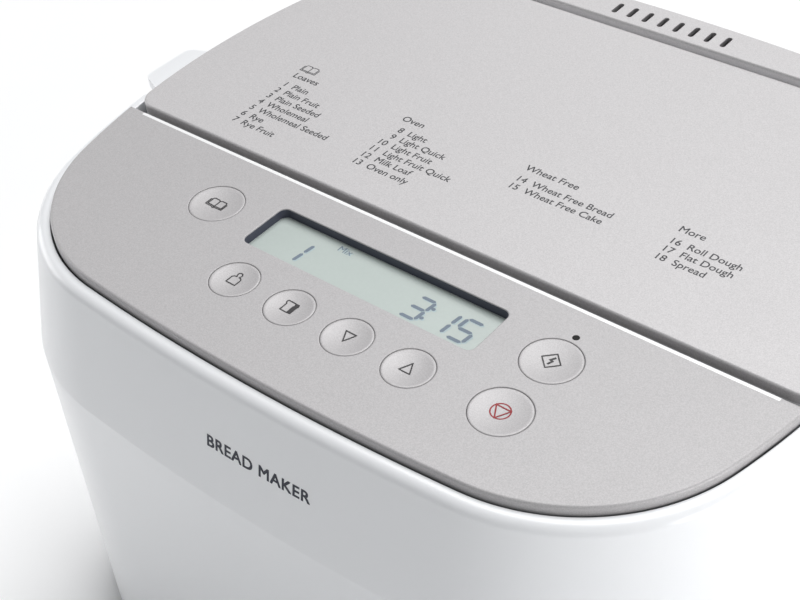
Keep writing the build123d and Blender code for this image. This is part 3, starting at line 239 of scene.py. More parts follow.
class Finish:
    """A node material with one Principled shader, and short ways to add patterns on Object coordinates."""

    def __init__(self, name, colour, roughness, metallic=0.0, **sockets):
        self.material = bpy.data.materials.new(name)
        self.material.use_nodes = True
        self.tree = self.material.node_tree
        self.shader = self.tree.nodes["Principled BSDF"]
        self.colour = (*colour, 1.0)
        self.roughness = roughness
        self.shader.inputs["Base Color"].default_value = self.colour
        self.shader.inputs["Roughness"].default_value = roughness
        self.shader.inputs["Metallic"].default_value = metallic
        for socket, value in sockets.items():
            self.shader.inputs[socket.replace("_", " ")].default_value = value
        self.place = self.tree.nodes.new("ShaderNodeTexCoord")
        self.normal = None

    def noise(self, size, stretch=(1, 1, 1), detail=3.0):
        """Soft random pattern whose blobs are about size across, drawn out along the axes by stretch."""
        mapping = self.tree.nodes.new("ShaderNodeMapping")
        mapping.inputs["Scale"].default_value = [1 / part for part in stretch]
        self.tree.links.new(self.place.outputs["Object"], mapping.inputs["Vector"])
        noise = self.tree.nodes.new("ShaderNodeTexNoise")
        noise.inputs["Scale"].default_value = 1 / size
        noise.inputs["Detail"].default_value = detail
        self.tree.links.new(mapping.outputs["Vector"], noise.inputs["Vector"])
        return noise.outputs["Fac"]

    def cells(self, size):
        """Random grey for each cell of a Voronoi pattern, with cells about size across."""
        cells = self.tree.nodes.new("ShaderNodeTexVoronoi")
        cells.inputs["Scale"].default_value = 1 / size
        self.tree.links.new(self.place.outputs["Object"], cells.inputs["Vector"])
        return cells.outputs["Color"]

    def ramp(self, pattern, low, high, start=0.3, end=0.7):
        """Turns a pattern into colours from low to high."""
        ramp = self.tree.nodes.new("ShaderNodeValToRGB")
        ramp.color_ramp.elements[0].position = start
        ramp.color_ramp.elements[1].position = end
        ramp.color_ramp.elements[0].color = (*low, 1.0)
        ramp.color_ramp.elements[1].color = (*high, 1.0)
        self.tree.links.new(pattern, ramp.inputs["Fac"])
        return ramp.outputs["Color"]

    def tint(self, pattern, spread, start=0.3, end=0.7):
        """Varies the base colour about its value by spread, following a pattern."""
        base = np.array(self.colour[:3])
        shades = self.ramp(pattern, base * (1 - spread), np.minimum(base * (1 + spread), 1.0), start, end)
        self.tree.links.new(shades, self.shader.inputs["Base Color"])
        return self

    def wear(self, pattern, spread):
        """Varies the roughness about its value by spread, following a pattern."""
        low, high = max(self.roughness - spread, 0.02), min(self.roughness + spread, 1.0)
        shades = self.ramp(pattern, (low,) * 3, (high,) * 3, 0.1, 0.9)
        self.tree.links.new(shades, self.shader.inputs["Roughness"])
        return self

    def relief(self, pattern, depth, strength=1.0):
        """Bumps the surface by depth, following a pattern, on top of any earlier bump."""
        bump = self.tree.nodes.new("ShaderNodeBump")
        bump.inputs["Distance"].default_value = depth
        bump.inputs["Strength"].default_value = strength
        self.tree.links.new(pattern, bump.inputs["Height"])
        if self.normal is not None:
            self.tree.links.new(self.normal, bump.inputs["Normal"])
        self.normal = bump.outputs["Normal"]
        self.tree.links.new(self.normal, self.shader.inputs["Normal"])
        return self


def moulded(name, colour, roughness, grain=0.25 * MM, depth=0.01 * MM, **sockets):
    """Moulded plastic: fine grain, and a slow waviness in its gloss."""
    finish = Finish(name, colour, roughness, **sockets)
    finish.relief(finish.noise(grain), depth)
    finish.wear(finish.noise(4 * MM), 0.03)
    finish.tint(finish.noise(1.5 * MM), 0.012)
    return finish.material


def glossy(name, colour, roughness):
    """Gloss plastic: a clear skin, and in it the faint fine ripple that polished moulds leave."""
    finish = Finish(name, colour, roughness, Coat_Weight=0.25, Coat_Roughness=0.10)
    finish.relief(finish.noise(1.2 * MM, detail=1.0), 0.0006 * MM)
    finish.tint(finish.noise(0.8 * MM, detail=1.0), 0.006, 0.0, 1.0)
    return finish.material


def lacquer(name, colour, roughness, metallic):
    """Metallic lacquer: aluminium flakes of two sizes that differ in shade under a thin clear coat."""
    finish = Finish(name, colour, roughness, metallic, Coat_Weight=0.12, Coat_Roughness=0.28)
    finish.tint(finish.noise(0.45 * MM, detail=4.0), 0.10, 0.35, 0.65)
    finish.wear(finish.noise(25 * MM), 0.03)
    finish.relief(finish.noise(0.30 * MM, detail=2.0), 0.015 * MM)
    return finish.material


def brushed(name, colour, roughness, along=(30, 1, 1), grain=0.12 * MM):
    """Metal with fine drawn lines along one axis, and slow stains in its gloss."""
    finish = Finish(name, colour, roughness, 1.0)
    lines = finish.noise(grain, along)
    finish.tint(lines, 0.08)
    finish.relief(lines, 0.004 * MM)
    finish.wear(finish.noise(12 * MM), 0.08)
    return finish.material


def coated(name, colour, roughness, fleck):
    """Non-stick coating: dark and slightly pebbled, with paler flecks."""
    finish = Finish(name, colour, roughness, 0.25)
    finish.tint(finish.cells(fleck), 0.35, 0.1, 0.9)
    finish.relief(finish.noise(0.5 * MM), 0.02 * MM)
    return finish.material


def ink(name, colour):
    """Printing ink: matt, with a slightly uneven film."""
    finish = Finish(name, colour, 0.55)
    finish.tint(finish.noise(0.8 * MM), 0.06)
    return finish.material


white_plastic = glossy("white_plastic", (0.895, 0.905, 0.92), 0.28)
grey_plastic = moulded("grey_plastic", (0.36, 0.37, 0.38), 0.45)
# Painted shade: the deck under the lid gets a near-black colour so that the groove between lid and panel looks
# dark, where the darkness is shade
deck_painted_groove_shade = moulded("deck_painted_groove_shade", (0.11, 0.11, 0.115), 0.42)
frame_plastic = moulded("frame_plastic", (0.55, 0.55, 0.56), 0.42)
dark_plastic = moulded("dark_plastic", (0.045, 0.055, 0.075), 0.40)
black_plastic = moulded("black_plastic", (0.012, 0.012, 0.013), 0.30)
dark_lens = moulded("dark_lens", (0.008, 0.008, 0.008), 0.60, depth=0.002 * MM, Specular_IOR_Level=0.2)
champagne = lacquer("champagne_lacquer", (0.545, 0.530, 0.534), 0.52, 0.12)
# Painted shade: the same lacquer as the lid's, with a darker base colour so that the panel reads darker than
# the lid
shaded_panel_lacquer = lacquer("shaded_panel_lacquer", (0.462, 0.449, 0.453), 0.52, 0.12)
key_lacquer = lacquer("key_lacquer", (0.480, 0.466, 0.470), 0.48, 0.15)
window_plastic = moulded("window_plastic", (0.055, 0.060, 0.090), 0.45)
# Painted highlight: a near-white gloss that stands in for the light caught along the panel's rear lip
painted_lip_highlight = glossy("painted_lip_highlight", (0.93, 0.93, 0.93), 0.30)
print_ink = ink("print_ink", (0.035, 0.035, 0.04))
icon_ink = ink("icon_ink", (0.03, 0.028, 0.03))
red_ink = ink("red_ink", (0.30, 0.010, 0.014))
badge_ink = ink("badge_ink", (0.018, 0.022, 0.04))
steel = brushed("brushed_steel", (0.58, 0.58, 0.57), 0.32)
sheet = brushed("aluminised_sheet", (0.66, 0.66, 0.67), 0.42, (1, 1, 25), 0.3 * MM)
zinc = brushed("zinc_plate", (0.60, 0.60, 0.58), 0.36, (1, 1, 1), 0.4 * MM)
aluminium = brushed("satin_aluminium", (0.74, 0.74, 0.75), 0.38, (1, 40, 1))
heater_skin = brushed("heater_skin", (0.20, 0.18, 0.17), 0.55, (1, 1, 1), 1.5 * MM)
bronze = brushed("sintered_bronze", (0.55, 0.38, 0.20), 0.45, (1, 1, 1), 0.3 * MM)
laminations = brushed("laminations", (0.25, 0.25, 0.26), 0.5, (60, 60, 1), 0.5 * MM)
copper = brushed("enamelled_copper", (0.62, 0.26, 0.12), 0.35, (1, 1, 12), 0.4 * MM)
pan_coating = coated("pan_coating", (0.085, 0.085, 0.09), 0.42, 0.8 * MM)
blade_coating = coated("blade_coating", (0.11, 0.11, 0.115), 0.40, 0.6 * MM)
ceramic = moulded("ceramic", (0.80, 0.77, 0.70), 0.6, 0.4 * MM, 0.03 * MM)
rubber = moulded("foot_rubber", (0.025, 0.025, 0.026), 0.75, 0.5 * MM, 0.04 * MM)
belt_rubber = moulded("belt_rubber", (0.018, 0.018, 0.019), 0.65, 0.6 * MM, 0.04 * MM)
silicone = moulded("silicone", (0.62, 0.61, 0.58), 0.55, 0.5 * MM, 0.02 * MM)
board = moulded("solder_mask", (0.02, 0.14, 0.06), 0.35, 1.2 * MM, 0.02 * MM)
display_back = moulded("display_back", (0.50, 0.56, 0.50), 0.55, 0.3 * MM, 0.004 * MM)
display_face = moulded("display_face", (0.53, 0.59, 0.562), 0.22, 0.3 * MM, 0.001 * MM)
segment_ink = ink("segment_ink", (0.17, 0.215, 0.27))
segment_shade = ink("segment_shade", (0.42, 0.52, 0.54))

NODE_FINISH = {
    "base_plate": grey_plastic,
    "base_screws": zinc,
    "rubber_feet": rubber,
    "top_deck": deck_painted_groove_shade,
    "deck_screws": zinc,
    "rear_cover": champagne,
    "panel_carrier": grey_plastic,
    "display_bezel": window_plastic,
    "control_board": board,
    "key_switches": black_plastic,
    "status_led": dark_lens,
    "lid_plate": champagne,
    "lid_shell": white_plastic,
    "display_glass": display_face,
    "display_module": display_back,
    "lid_inner_frame": frame_plastic,
    "lid_liner": aluminium,
    "lid_seal": silicone,
    "lid_screws": zinc,
    "hinge_brackets": steel,
    "hinge_pins": zinc,
    "baking_chamber": sheet,
    "heat_shield": aluminium,
    "heating_element": heater_skin,
    "heater_clips": steel,
    "heater_terminals": ceramic,
    "chamber_sensor": zinc,
    "bread_pan": pan_coating,
    "pan_bush": bronze,
    "pan_seat": sheet,
    "pan_handle": steel,
    "kneading_blade": blade_coating,
    "blade_shaft": steel,
    "pan_coupler": zinc,
    "drive_coupler": zinc,
    "drive_shaft": steel,
    "drive_pulley": dark_plastic,
    "motor_pulley": zinc,
    "drive_belt": belt_rubber,
    "bearing_housing": aluminium,
    "shaft_bushes": bronze,
    "drive_frame": steel,
    "motor_bells": aluminium,
    "motor_stator": laminations,
    "motor_coils": copper,
    "motor_rotor": steel,
    "run_capacitor": aluminium,
    "power_board": board,
    "power_components": black_plastic,
    "cord_gland": black_plastic,
}
for node_name, finish in NODE_FINISH.items():
    node_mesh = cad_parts[node_name].data
    node_mesh.materials.clear()
    node_mesh.materials.append(finish)


# ---------------------------------------------------------------- outer case

NOTCH_LOW = -36.6 * MM
NOTCH_HIGH = 11.4 * MM
NOTCH_SOFTNESS = 3.0 * MM
EAR_TOP_DROP = 2.5 * MM
EAR_THICKNESS = 5 * MM
EAR_CLEARANCE = 0.6 * MM
RIM_THICKNESS = 3 * MM
FOOT_ROUNDING = 2 * MM
CREASE_ROUNDING = 6 * MM
RIM_ROUNDING = 5 * MM
RIM_EDGE_ROUNDING = 0.6 * MM


def step(value, low, high):
    """Smooth rise from 0 to 1 as value goes from low to high: 3 t^2 - 2 t^3."""
    t = np.clip((value - low) / (high - low), 0, 1)
    return t * t * (3 - 2 * t)


def case_shell():
    """The case's closed skin: its wall profile carried round the outline, dipped under the lid's two ears."""
    foot = case_low.z
    inner = wall_grow - WALL
    lean_inner = RIM_WIDTH + FLARE_REACH * RIM_THICKNESS / FLARE_HEIGHT - WALL
    crease = rim_top - FLARE_HEIGHT
    lip = PLATE_GAP + WALL
    rim_under = rim_top - RIM_THICKNESS
    profile = soften(
        [
            (inner, foot), (wall_grow, foot), (wall_grow, crease), (RIM_WIDTH, rim_top), (PLATE_GAP, rim_top),
            (PLATE_GAP, deck_high.z), (lip, deck_high.z), (lip, rim_under), (lean_inner, rim_under),
            (inner, crease), (inner, foot + WALL),
        ],
        [FOOT_ROUNDING, CREASE_ROUNDING, RIM_ROUNDING, RIM_EDGE_ROUNDING, 0, 0, 0, 0, 0],
        8,
    )
    rings = np.stack([outline(grow, fine=2) for grow in profile[:, 0]])
    height = np.broadcast_to(profile[:, 1, None, None], rings.shape[:2] + (1,))
    points = np.concatenate([rings, height], axis=2)
    # The dip follows y on the plates' own outline, so that it stays straight down the whole wall: each row that
    # stands higher than just below the ears comes down to there
    y = outline(fine=2)[:, 1]
    notch = step(y, NOTCH_LOW - NOTCH_SOFTNESS, NOTCH_LOW)
    notch = notch * (1 - step(y, NOTCH_HIGH, NOTCH_HIGH + NOTCH_SOFTNESS))
    ear_under = shell_high.z - EAR_TOP_DROP - EAR_THICKNESS - EAR_CLEARANCE
    top = points[..., 2]
    dipped = np.minimum(top, ear_under)
    points[..., 2] = top * (1 - notch) + dipped * notch
    surface = Surface()
    surface.grid(points, close_rows=True)
    shell = surface.piece("case_shell", white_plastic, "case", "white_plastic", sharp=40)
    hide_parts("outer_case")
    return shell


case_shell()


# ---------------------------------------------------------------- top plates

EDGE_ROUNDING = 1.2 * MM
LIP_ROUNDING = 2.0 * MM
EDGE_LAND = 0.3 * MM
SHEET = 2.5 * MM
STRAIGHT_PITCH = 6 * MM
plate_surface = plate_top - PLATE_SINK
skirt_bottom = lid_low.z


def front_part(high_y, fine=2):
    """The outline's part in front of high_y, closed by an evenly divided straight run along high_y."""
    right = outline(fine=fine)
    right = right[: np.argmax(right[:, 1])]
    right = right[right[:, 0] >= 0]
    end_x = np.interp(high_y, right[:, 1], right[:, 0])
    right = right[right[:, 1] < high_y - 0.1 * MM]
    across = np.linspace(end_x, -end_x, int(2 * end_x / STRAIGHT_PITCH))
    left = (right * [-1, 1])[::-1][:-1]
    return np.r_[right, np.c_[across, np.full(len(across), high_y)], left]


def circle(centre, radius, count=72):
    """A closed circle of points, anticlockwise."""
    return arc(centre, radius, 0, 2 * math.pi, count + 1)[:-1]


def rounded_box(low, high, radius, steps=8):
    """A closed rectangle with round corners, anticlockwise."""
    (x0, y0), (x1, y1) = low, high
    left, right, front, rear = x0 + radius, x1 - radius, y0 + radius, y1 - radius
    centres = [(right, front), (right, rear), (left, rear), (left, front)]
    turn = math.pi / 2
    return np.concatenate(
        [arc(centre, radius, turn * (i - 1), turn * i, steps + 1) for i, centre in enumerate(centres)]
    )


def edge_profile(rounding, top, bottom, steps=6):
    """Outward distance and height from a flat land, round an edge and down to the bottom."""
    return soften([(-rounding - EDGE_LAND, top), (0, top), (0, bottom)], [rounding], steps)


def hole_profile(rounding, top, bottom, steps=3):
    """The same for a hole, whose outward direction points into the hole's opening."""
    return edge_profile(rounding, top, bottom, steps) * [-1, 1]


KEYS = {
    name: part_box(name)
    for name in (
        "menu_button", "start_button", "stop_button",
        "size_button", "crust_button", "down_button", "up_button",
    )
}
KEY_FLANGE = 1.3 * MM
KEY_GAP = 0.13 * MM
LED_FIT = 0.02 * MM
WINDOW_CORNER = 3.5 * MM
KEY_HOLE_ROUNDING = 0.35 * MM
LED_HOLE_ROUNDING = 0.15 * MM
WINDOW_ROUNDING = 0.4 * MM
WINDOW_EDGE = 0.6 * MM


def key_centre(name):
    """Middle of a key, seen from above."""
    low, high = KEYS[name]
    return np.array([(low.x + high.x) / 2, (low.y + high.y) / 2])


def key_radius(name):
    """Radius of a key's cap, without its hidden flange."""
    low, high = KEYS[name]
    return (high.x - low.x) / 2 - KEY_FLANGE


window_low = np.array([module_low.x, module_low.y])
window_high = np.array([module_high.x, module_high.y])


def control_panel():
    """The lacquered front plate: a flat sheet, its edge rounded, its lip softer, with its openings."""
    edge = front_part(panel_high.y)
    rear = edge[:, 1] > panel_high.y - 1e-7
    rounding = np.where(rear, LIP_ROUNDING, EDGE_ROUNDING)
    surface = Surface()
    normal = outward(edge)
    corner = edge[:, 1] > panel_high.y - 1e-7
    corner &= np.abs(edge[:, 0]) > np.abs(edge[corner, 0]).max() - 1e-6
    normal[corner] = unit(np.c_[np.sign(edge[corner, 0]), np.ones(corner.sum())]) * math.sqrt(2)
    share = np.linspace(0, math.pi / 2, 7)
    rows = [np.c_[edge - normal * (rounding + EDGE_LAND)[:, None], np.full(len(edge), plate_surface)]]
    for angle in share:
        back = rounding * (1 - math.sin(angle))
        drop = rounding * (1 - math.cos(angle))
        rows.append(np.c_[edge - normal * back[:, None], plate_surface - drop])
    rows.append(np.c_[edge, np.full(len(edge), skirt_bottom)])
    inner = edge - normal * SHEET
    rows.append(np.c_[inner, np.full(len(edge), skirt_bottom)])
    rows.append(np.c_[inner, np.full(len(edge), plate_top - SHEET)])
    points = np.stack(rows)
    surface.grid(points)
    loops = [points[0, :, :2]]
    bottom = plate_top - SHEET
    for name in KEYS:
        rim = circle(key_centre(name), key_radius(name) + KEY_GAP, 96)
        ring = band(rim, hole_profile(KEY_HOLE_ROUNDING, plate_surface, bottom))
        surface.grid(ring, flip=True)
        loops.append(ring[0, :, :2])
    led_low, led_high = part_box("status_led")
    led_middle = [(led_low.x + led_high.x) / 2, (led_low.y + led_high.y) / 2]
    led = circle(led_middle, (led_high.x - led_low.x) / 2 + LED_FIT, 32)
    ring = band(led, hole_profile(LED_HOLE_ROUNDING, plate_surface, bottom))
    surface.grid(ring, flip=True)
    loops.append(ring[0, :, :2])
    window = rounded_box(window_low, window_high, WINDOW_CORNER)
    ring = band(window, hole_profile(WINDOW_ROUNDING, plate_surface, plate_surface - WINDOW_EDGE))
    surface.grid(ring, flip=True)
    loops.append(ring[0, :, :2])
    surface.fill(loops, plate_surface)
    panel = surface.piece("panel_plate", shaded_panel_lacquer, "case", "champagne_metal")
    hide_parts("control_panel")


control_panel()

LIP_LINE_LIFT = 0.02 * MM
LIP_LINE_FLAT = 0.9 * MM
LIP_LINE_END = math.radians(50)


def lip_line():
    """A painted highlight along the groove's front lip: a near-white strip over a flat run and the first part
    of the lip's rounding, carried straight across."""
    end_x = front_part(panel_high.y)[:, 0].max() - CORNER_RADIUS / 8
    angle = np.r_[0.0, np.linspace(0, LIP_LINE_END, 9)][:, None]
    flat = np.r_[LIP_LINE_FLAT, np.zeros(9)][:, None]
    radius = LIP_ROUNDING + LIP_LINE_LIFT
    across = np.linspace(-end_x, end_x, 60)[None]
    y = panel_high.y - LIP_ROUNDING - flat + radius * np.sin(angle)
    z = plate_surface - LIP_ROUNDING + radius * np.cos(angle)
    surface = Surface()
    surface.grid(np.stack(np.broadcast_arrays(across, y, z), axis=2), close_columns=False)
    surface.piece("lip_line", painted_lip_highlight, "case", "champagne_metal")


lip_line()


LINING_TOP_GAP = 0.05 * MM
LINING_REACH = 0.6 * MM
LINING_THICKNESS = 0.12 * MM


def window_surround():
    """The window's dark lining: a thin rounded wall from just under the plate's edge down to the glass."""
    lining = rounded_box(window_low, window_high, WINDOW_CORNER)
    top, bottom = plate_surface - WINDOW_EDGE + LINING_TOP_GAP, glass_high.z
    profile = np.array(
        [(LINING_REACH, top), (0.0, top), (-LINING_THICKNESS, top - 0.1 * MM), (-LINING_THICKNESS, bottom)]
    )
    surface = Surface()
    surface.grid(band(lining, profile[::-1]))
    surface.piece("window_lining", window_plastic, "case", "dark_plastic")


window_surround()


# ---------------------------------------------------------------- keys

KEY_TOP = 0.1 * MM
KEY_ROUNDING = 0.6 * MM
KEY_LAND = 0.4 * MM
DISH_DEPTH = 1.0 * MM
FLANGE_DROP = 3.0 * MM
FLANGE_THICKNESS = 1.6 * MM
CAP_DEPTH = 6.4 * MM
STEM_RADIUS = 3 * MM
POLE_RADIUS = 0.02 * MM


def dish_height(reach, radius):
    """Height of a key's dished top at a distance from its middle: the bottom of a sphere meeting the land."""
    edge = radius - KEY_ROUNDING - KEY_LAND
    sphere = (edge**2 + DISH_DEPTH**2) / (2 * DISH_DEPTH)
    inside = np.minimum(reach, edge)
    return plate_top - KEY_TOP - DISH_DEPTH + sphere - np.sqrt(sphere**2 - inside**2)


def key_cap(name):
    """A key: a dished cap with a rounded edge and a hidden flange, turned about its own axis."""
    radius = key_radius(name)
    centre = key_centre(name)
    low = KEYS[name][0]
    top = plate_top - KEY_TOP
    dish = np.linspace(0.02, 1, 16) * (radius - KEY_ROUNDING - KEY_LAND)
    flange = plate_top - FLANGE_DROP
    under, bottom = flange - FLANGE_THICKNESS, plate_top - CAP_DEPTH
    land, outer = radius - KEY_ROUNDING - KEY_LAND * 0.6, radius + KEY_FLANGE
    profile = np.r_[
        np.c_[dish, dish_height(dish, radius)],
        soften([(land, top), (radius, top), (radius, flange)], [KEY_ROUNDING], 6),
        [(outer, flange), (outer, under), (radius, under), (radius, bottom)],
        [(STEM_RADIUS, bottom), (STEM_RADIUS, low.z), (POLE_RADIUS, low.z)],
    ]
    angle = np.linspace(0, 2 * math.pi, 97)[:-1]
    points = np.stack(
        [
            centre[0] + profile[:, 0, None] * np.cos(angle),
            centre[1] + profile[:, 0, None] * np.sin(angle),
            np.broadcast_to(profile[:, 1, None], (len(profile), len(angle))),
        ],
        axis=2,
    )
    surface = Surface()
    surface.grid(points)
    for row in (0, -1):
        middle = points[row].mean(0)
        fan = np.stack([points[row], np.broadcast_to(middle, points[row].shape)])
        surface.grid(fan, flip=(row == 0))
    body = name.replace("button", "key")
    cap = surface.piece(name.replace("button", "cap"), key_lacquer, body, "key_plastic")
    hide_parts(name)


for key_name in KEYS:
    key_cap(key_name)


# ---------------------------------------------------------------- printing

CAPITAL_SHARE = 0.69
STROKE = 0.60 * MM
INK_FILM = 0.004 * MM


def letters(text, capital, align="LEFT", spread=1.0, weight=0.0):
    """Flat letters lying on the XY plane, with capitals of the given height, as points and faces. They are
    printed four times, a weight apart each way and barely above each other, which thickens every stroke."""
    curve = bpy.data.curves.new("letters", "FONT")
    curve.body = text
    curve.align_x = align
    curve.size = capital / CAPITAL_SHARE
    curve.space_character = spread
    curve.resolution_u = 4
    holder = bpy.data.objects.new("letters", curve)
    mesh = bpy.data.meshes.new_from_object(holder)
    points = np.empty(3 * len(mesh.vertices))
    mesh.vertices.foreach_get("co", points)
    faces = [list(polygon.vertices) for polygon in mesh.polygons]
    bpy.data.objects.remove(holder)
    bpy.data.meshes.remove(mesh)
    points, count = points.reshape(-1, 3), len(points) // 3
    shifts = np.array([(i * weight, j * weight, (2 * i + j) * INK_FILM) for i in (0, 1) for j in (0, 1)])
    points = (points[None] + shifts[:, None]).reshape(-1, 3)
    return points, [[index + layer * count for index in face] for layer in range(4) for face in faces]


class Printing(Surface):
    """Flat marks gathered into one mesh: letters, strokes and filled shapes."""

    def add(self, points, faces):
        self.faces += [[index + self.count for index in face] for face in faces]
        self.add_points(points)

    def text(self, text, place, capital, align="LEFT", weight=0.0):
        points, faces = letters(text, capital, align, weight=weight)
        self.add(points + np.array(place), faces)

    def stroke(self, path, place, width=STROKE, closed=False):
        """A ribbon along a path: each point moves half the width to both sides, square to the corner."""
        path = np.asarray(path, float) * MM
        before = np.roll(path, 1, 0) if closed else np.r_[path[:1] * 2 - path[1:2], path[:-1]]
        after = np.roll(path, -1, 0) if closed else np.r_[path[1:], path[-1:] * 2 - path[-2:-1]]
        run_in, run_out = unit(path - before), unit(after - path)
        across = unit(np.c_[-(run_in + run_out)[:, 1], (run_in + run_out)[:, 0]])
        side = np.c_[-run_in[:, 1], run_in[:, 0]]
        reach = width / 2 / np.maximum((across * side).sum(1, keepdims=True), 0.35)
        flat = np.stack([path - across * reach, path + across * reach])
        points = np.concatenate([flat, np.zeros(flat.shape[:2] + (1,))], axis=2) + np.array(place)
        self.grid(points, close_columns=closed)

    def shape(self, corners, place):
        """A filled convex shape from its corners, anticlockwise."""
        corners = np.asarray(corners, float) * MM
        points = np.c_[corners, np.zeros(len(corners))] + np.array(place)
        self.add(points, [list(range(len(corners)))])

    def print_on(self, name, material, body, slot):
        return self.piece(name, material, body, slot, merge=0)


PRINT_HEIGHT = plate_top + PRINT_LIFT
LINE_PITCH = 6.06 * MM
FIRST_LINE = -1.3 * MM
HEADING_LINE = 7.45 * MM
CAPITAL = 3.85 * MM
LIST_WEIGHT = 0.12 * MM
NUMBER_GAP = 3.0 * MM
BOOK_PLACE = (-127.5 * MM, 17.0 * MM, PRINT_HEIGHT)
BOOK_STROKE = 0.5 * MM
# Each column's heading x, name x, heading, first number and names
PROGRAMMES = (
    (
        -131.6, -124.8, "Loaves", 1,
        ("Plain", "Plain Fruit", "Plain Seeded", "Wholemeal", "Wholemeal Seeded", "Rye", "Rye Fruit"),
    ),
    (
        -61.6, -51.4, "Oven", 8,
        ("Light", "Light Quick", "Light Fruit", "Light Fruit Quick", "Milk Loaf", "Oven only"),
    ),
    (9.8, 19.1, "Wheat Free", 14, ("Wheat Free Bread", "Wheat Free Cake")),
    (88.6, 97.7, "More", 16, ("Roll Dough", "Flat Dough", "Spread")),
)
BOOK = (
    ((-4.0, 1.9), (-3.5, 2.5), (-0.9, 2.5), (0, 1.9), (0.9, 2.5), (3.5, 2.5), (4.0, 1.9)),
    ((-4.0, 1.9), (-4.0, -1.9), (-0.9, -1.9), (0, -2.5), (0.9, -1.9), (4.0, -1.9), (4.0, 1.9)),
    ((0, 1.9), (0, -2.5)),
    ((-4.75, 1.6), (-4.75, -2.7), (-1.1, -2.7), (0, -3.3), (1.1, -2.7), (4.75, -2.7), (4.75, 1.6)),
)


def lid_list():
    """The programme list printed on the lid: a small book, headings, numbers and names in four columns."""
    marks = Printing()
    for heading_x, name_x, heading, first, names in PROGRAMMES:
        marks.text(heading, (heading_x * MM, HEADING_LINE, PRINT_HEIGHT), CAPITAL * 1.04, weight=LIST_WEIGHT)
        for row, name in enumerate(names):
            y = FIRST_LINE - row * LINE_PITCH
            number_place = (name_x * MM - NUMBER_GAP, y, PRINT_HEIGHT)
            marks.text(str(first + row), number_place, CAPITAL, "RIGHT", LIST_WEIGHT)
            marks.text(name, (name_x * MM, y, PRINT_HEIGHT), CAPITAL, weight=LIST_WEIGHT)
    for path in BOOK:
        marks.stroke(path, BOOK_PLACE, BOOK_STROKE)
    marks.print_on("lid_list", print_ink, "lid", "print_ink")


lid_list()


def turned(points, angle):
    """Points turned about the origin by an angle in degrees."""
    angle = math.radians(angle)
    along, across = math.cos(angle), math.sin(angle)
    return np.asarray(points) @ np.array([[along, across], [-across, along]])


RING = circle((0, 0), 1.0, 40)
HEAD = arc((0, 3.15), 1.15, math.radians(-50), math.radians(230), 16)
SHOULDERS = (
    (-0.7, 1.9), (-1.7, 1.7), (-2.5, 0.9), (-2.5, -2.9), (2.5, -2.9), (2.5, 0.9), (1.7, 1.7), (0.7, 1.9),
)
SIZE_MARK = np.r_[SHOULDERS, HEAD]
SLICE = (
    (0.9, -3.0), (0.9, 1.1), (1.3, 1.7), (1.0, 2.9), (0.6, 3.1),
    (-2.9, 3.1), (-3.3, 2.6), (-3.2, 1.7), (-2.7, 1.2), (-2.7, -3.0),
)
SLICE_SIDE = (
    (0.9, -3.2), (2.9, -3.2), (2.9, 1.1), (3.3, 1.7), (3.1, 2.8),
    (2.7, 3.3), (0.6, 3.3), (1.2, 2.7), (1.3, 1.7), (0.9, 1.1),
)
TRIANGLE = ((-2.6, 2.5), (0, -2.9), (2.6, 2.5))
BOLT = ((0.75, 2.4), (-0.55, 0.35), (0.55, 0.0), (-0.35, -2.3))
BOLT_STROKE = 0.95 * MM
MARK_LIFT = 0.05 * MM
ICONS = {
    "menu_button": ([(path, False) for path in BOOK], []),
    "size_button": ([(SIZE_MARK, True)], []),
    "crust_button": ([(SLICE, True)], [SLICE_SIDE]),
    "down_button": ([(TRIANGLE, True)], []),
    "up_button": ([(turned(TRIANGLE, 180), True)], []),
    "start_button": ([(turned(((-3.1, -3.1), (3.1, -3.1), (3.1, 3.1), (-3.1, 3.1)), 45), True)], []),
    "stop_button": ([(RING * 4.0, True), (((-3.35, 2.1), (0, -3.95), (3.35, 2.1)), True)], []),
}
ICON_SHIFT = np.array([-0.6, 0.7]) * MM


def icon(name, strokes, fills):
    """A key's mark, printed on its dish: flat strokes and fills laid on the dish's height."""
    marks = Printing()
    centre = key_centre(name) + ICON_SHIFT
    place = (*centre, 0.0)
    for path, closed in strokes:
        marks.stroke(path, place, closed=closed)
    for corners in fills:
        marks.shape(corners, place)
    if name == "start_button":
        marks.stroke(BOLT, place, BOLT_STROKE)
    points = np.concatenate(marks.points)
    reach = np.linalg.norm(points[:, :2] - key_centre(name), axis=1)
    points[:, 2] = dish_height(reach, key_radius(name)) + MARK_LIFT
    marks.points = [points]
    finish = red_ink if name == "stop_button" else icon_ink
    slot = "red_ink" if name == "stop_button" else "print_ink"
    marks.print_on(name.replace("button", "mark"), finish, name.replace("button", "key"), slot)


for key_name, (icon_strokes, icon_fills) in ICONS.items():
    icon(key_name, icon_strokes, icon_fills)

# ---- Figures on the display: each lit bar is a slim six-sided shape, leaning a little to the right
DIGIT_WIDTH = 7.6
DIGIT_HEIGHT = 15.0
BAR = 1.75
BAR_GAP = 0.22
LEAN = 0.115
BARS = {
    "top": ((0, 1), (1, 1)), "upper_right": ((1, 1), (1, 0.5)), "lower_right": ((1, 0.5), (1, 0)),
    "bottom": ((0, 0), (1, 0)), "lower_left": ((0, 0.5), (0, 0)), "upper_left": ((0, 1), (0, 0.5)),
    "middle": ((0, 0.5), (1, 0.5)),
}
LIT = {
    "1": ("upper_right", "lower_right"),
    "3": ("top", "upper_right", "middle", "lower_right", "bottom"),
    "5": ("top", "upper_left", "middle", "lower_right", "bottom"),
}
DISPLAY_FIGURES = ((-45.8, "1"), (20.9, "3"), (34.2, "1"), (45.1, "5"))
FIGURE_BASE = -8.9
COLON = ((31.3, -86.7), (30.5, -93.6))
COLON_RADIUS = 0.95
SHADE_SHIFT = (0.75, -0.45)
DISPLAY_WORD = ("Mix", -27.0, -80.0)
DISPLAY_CAPITAL = 3.5 * MM


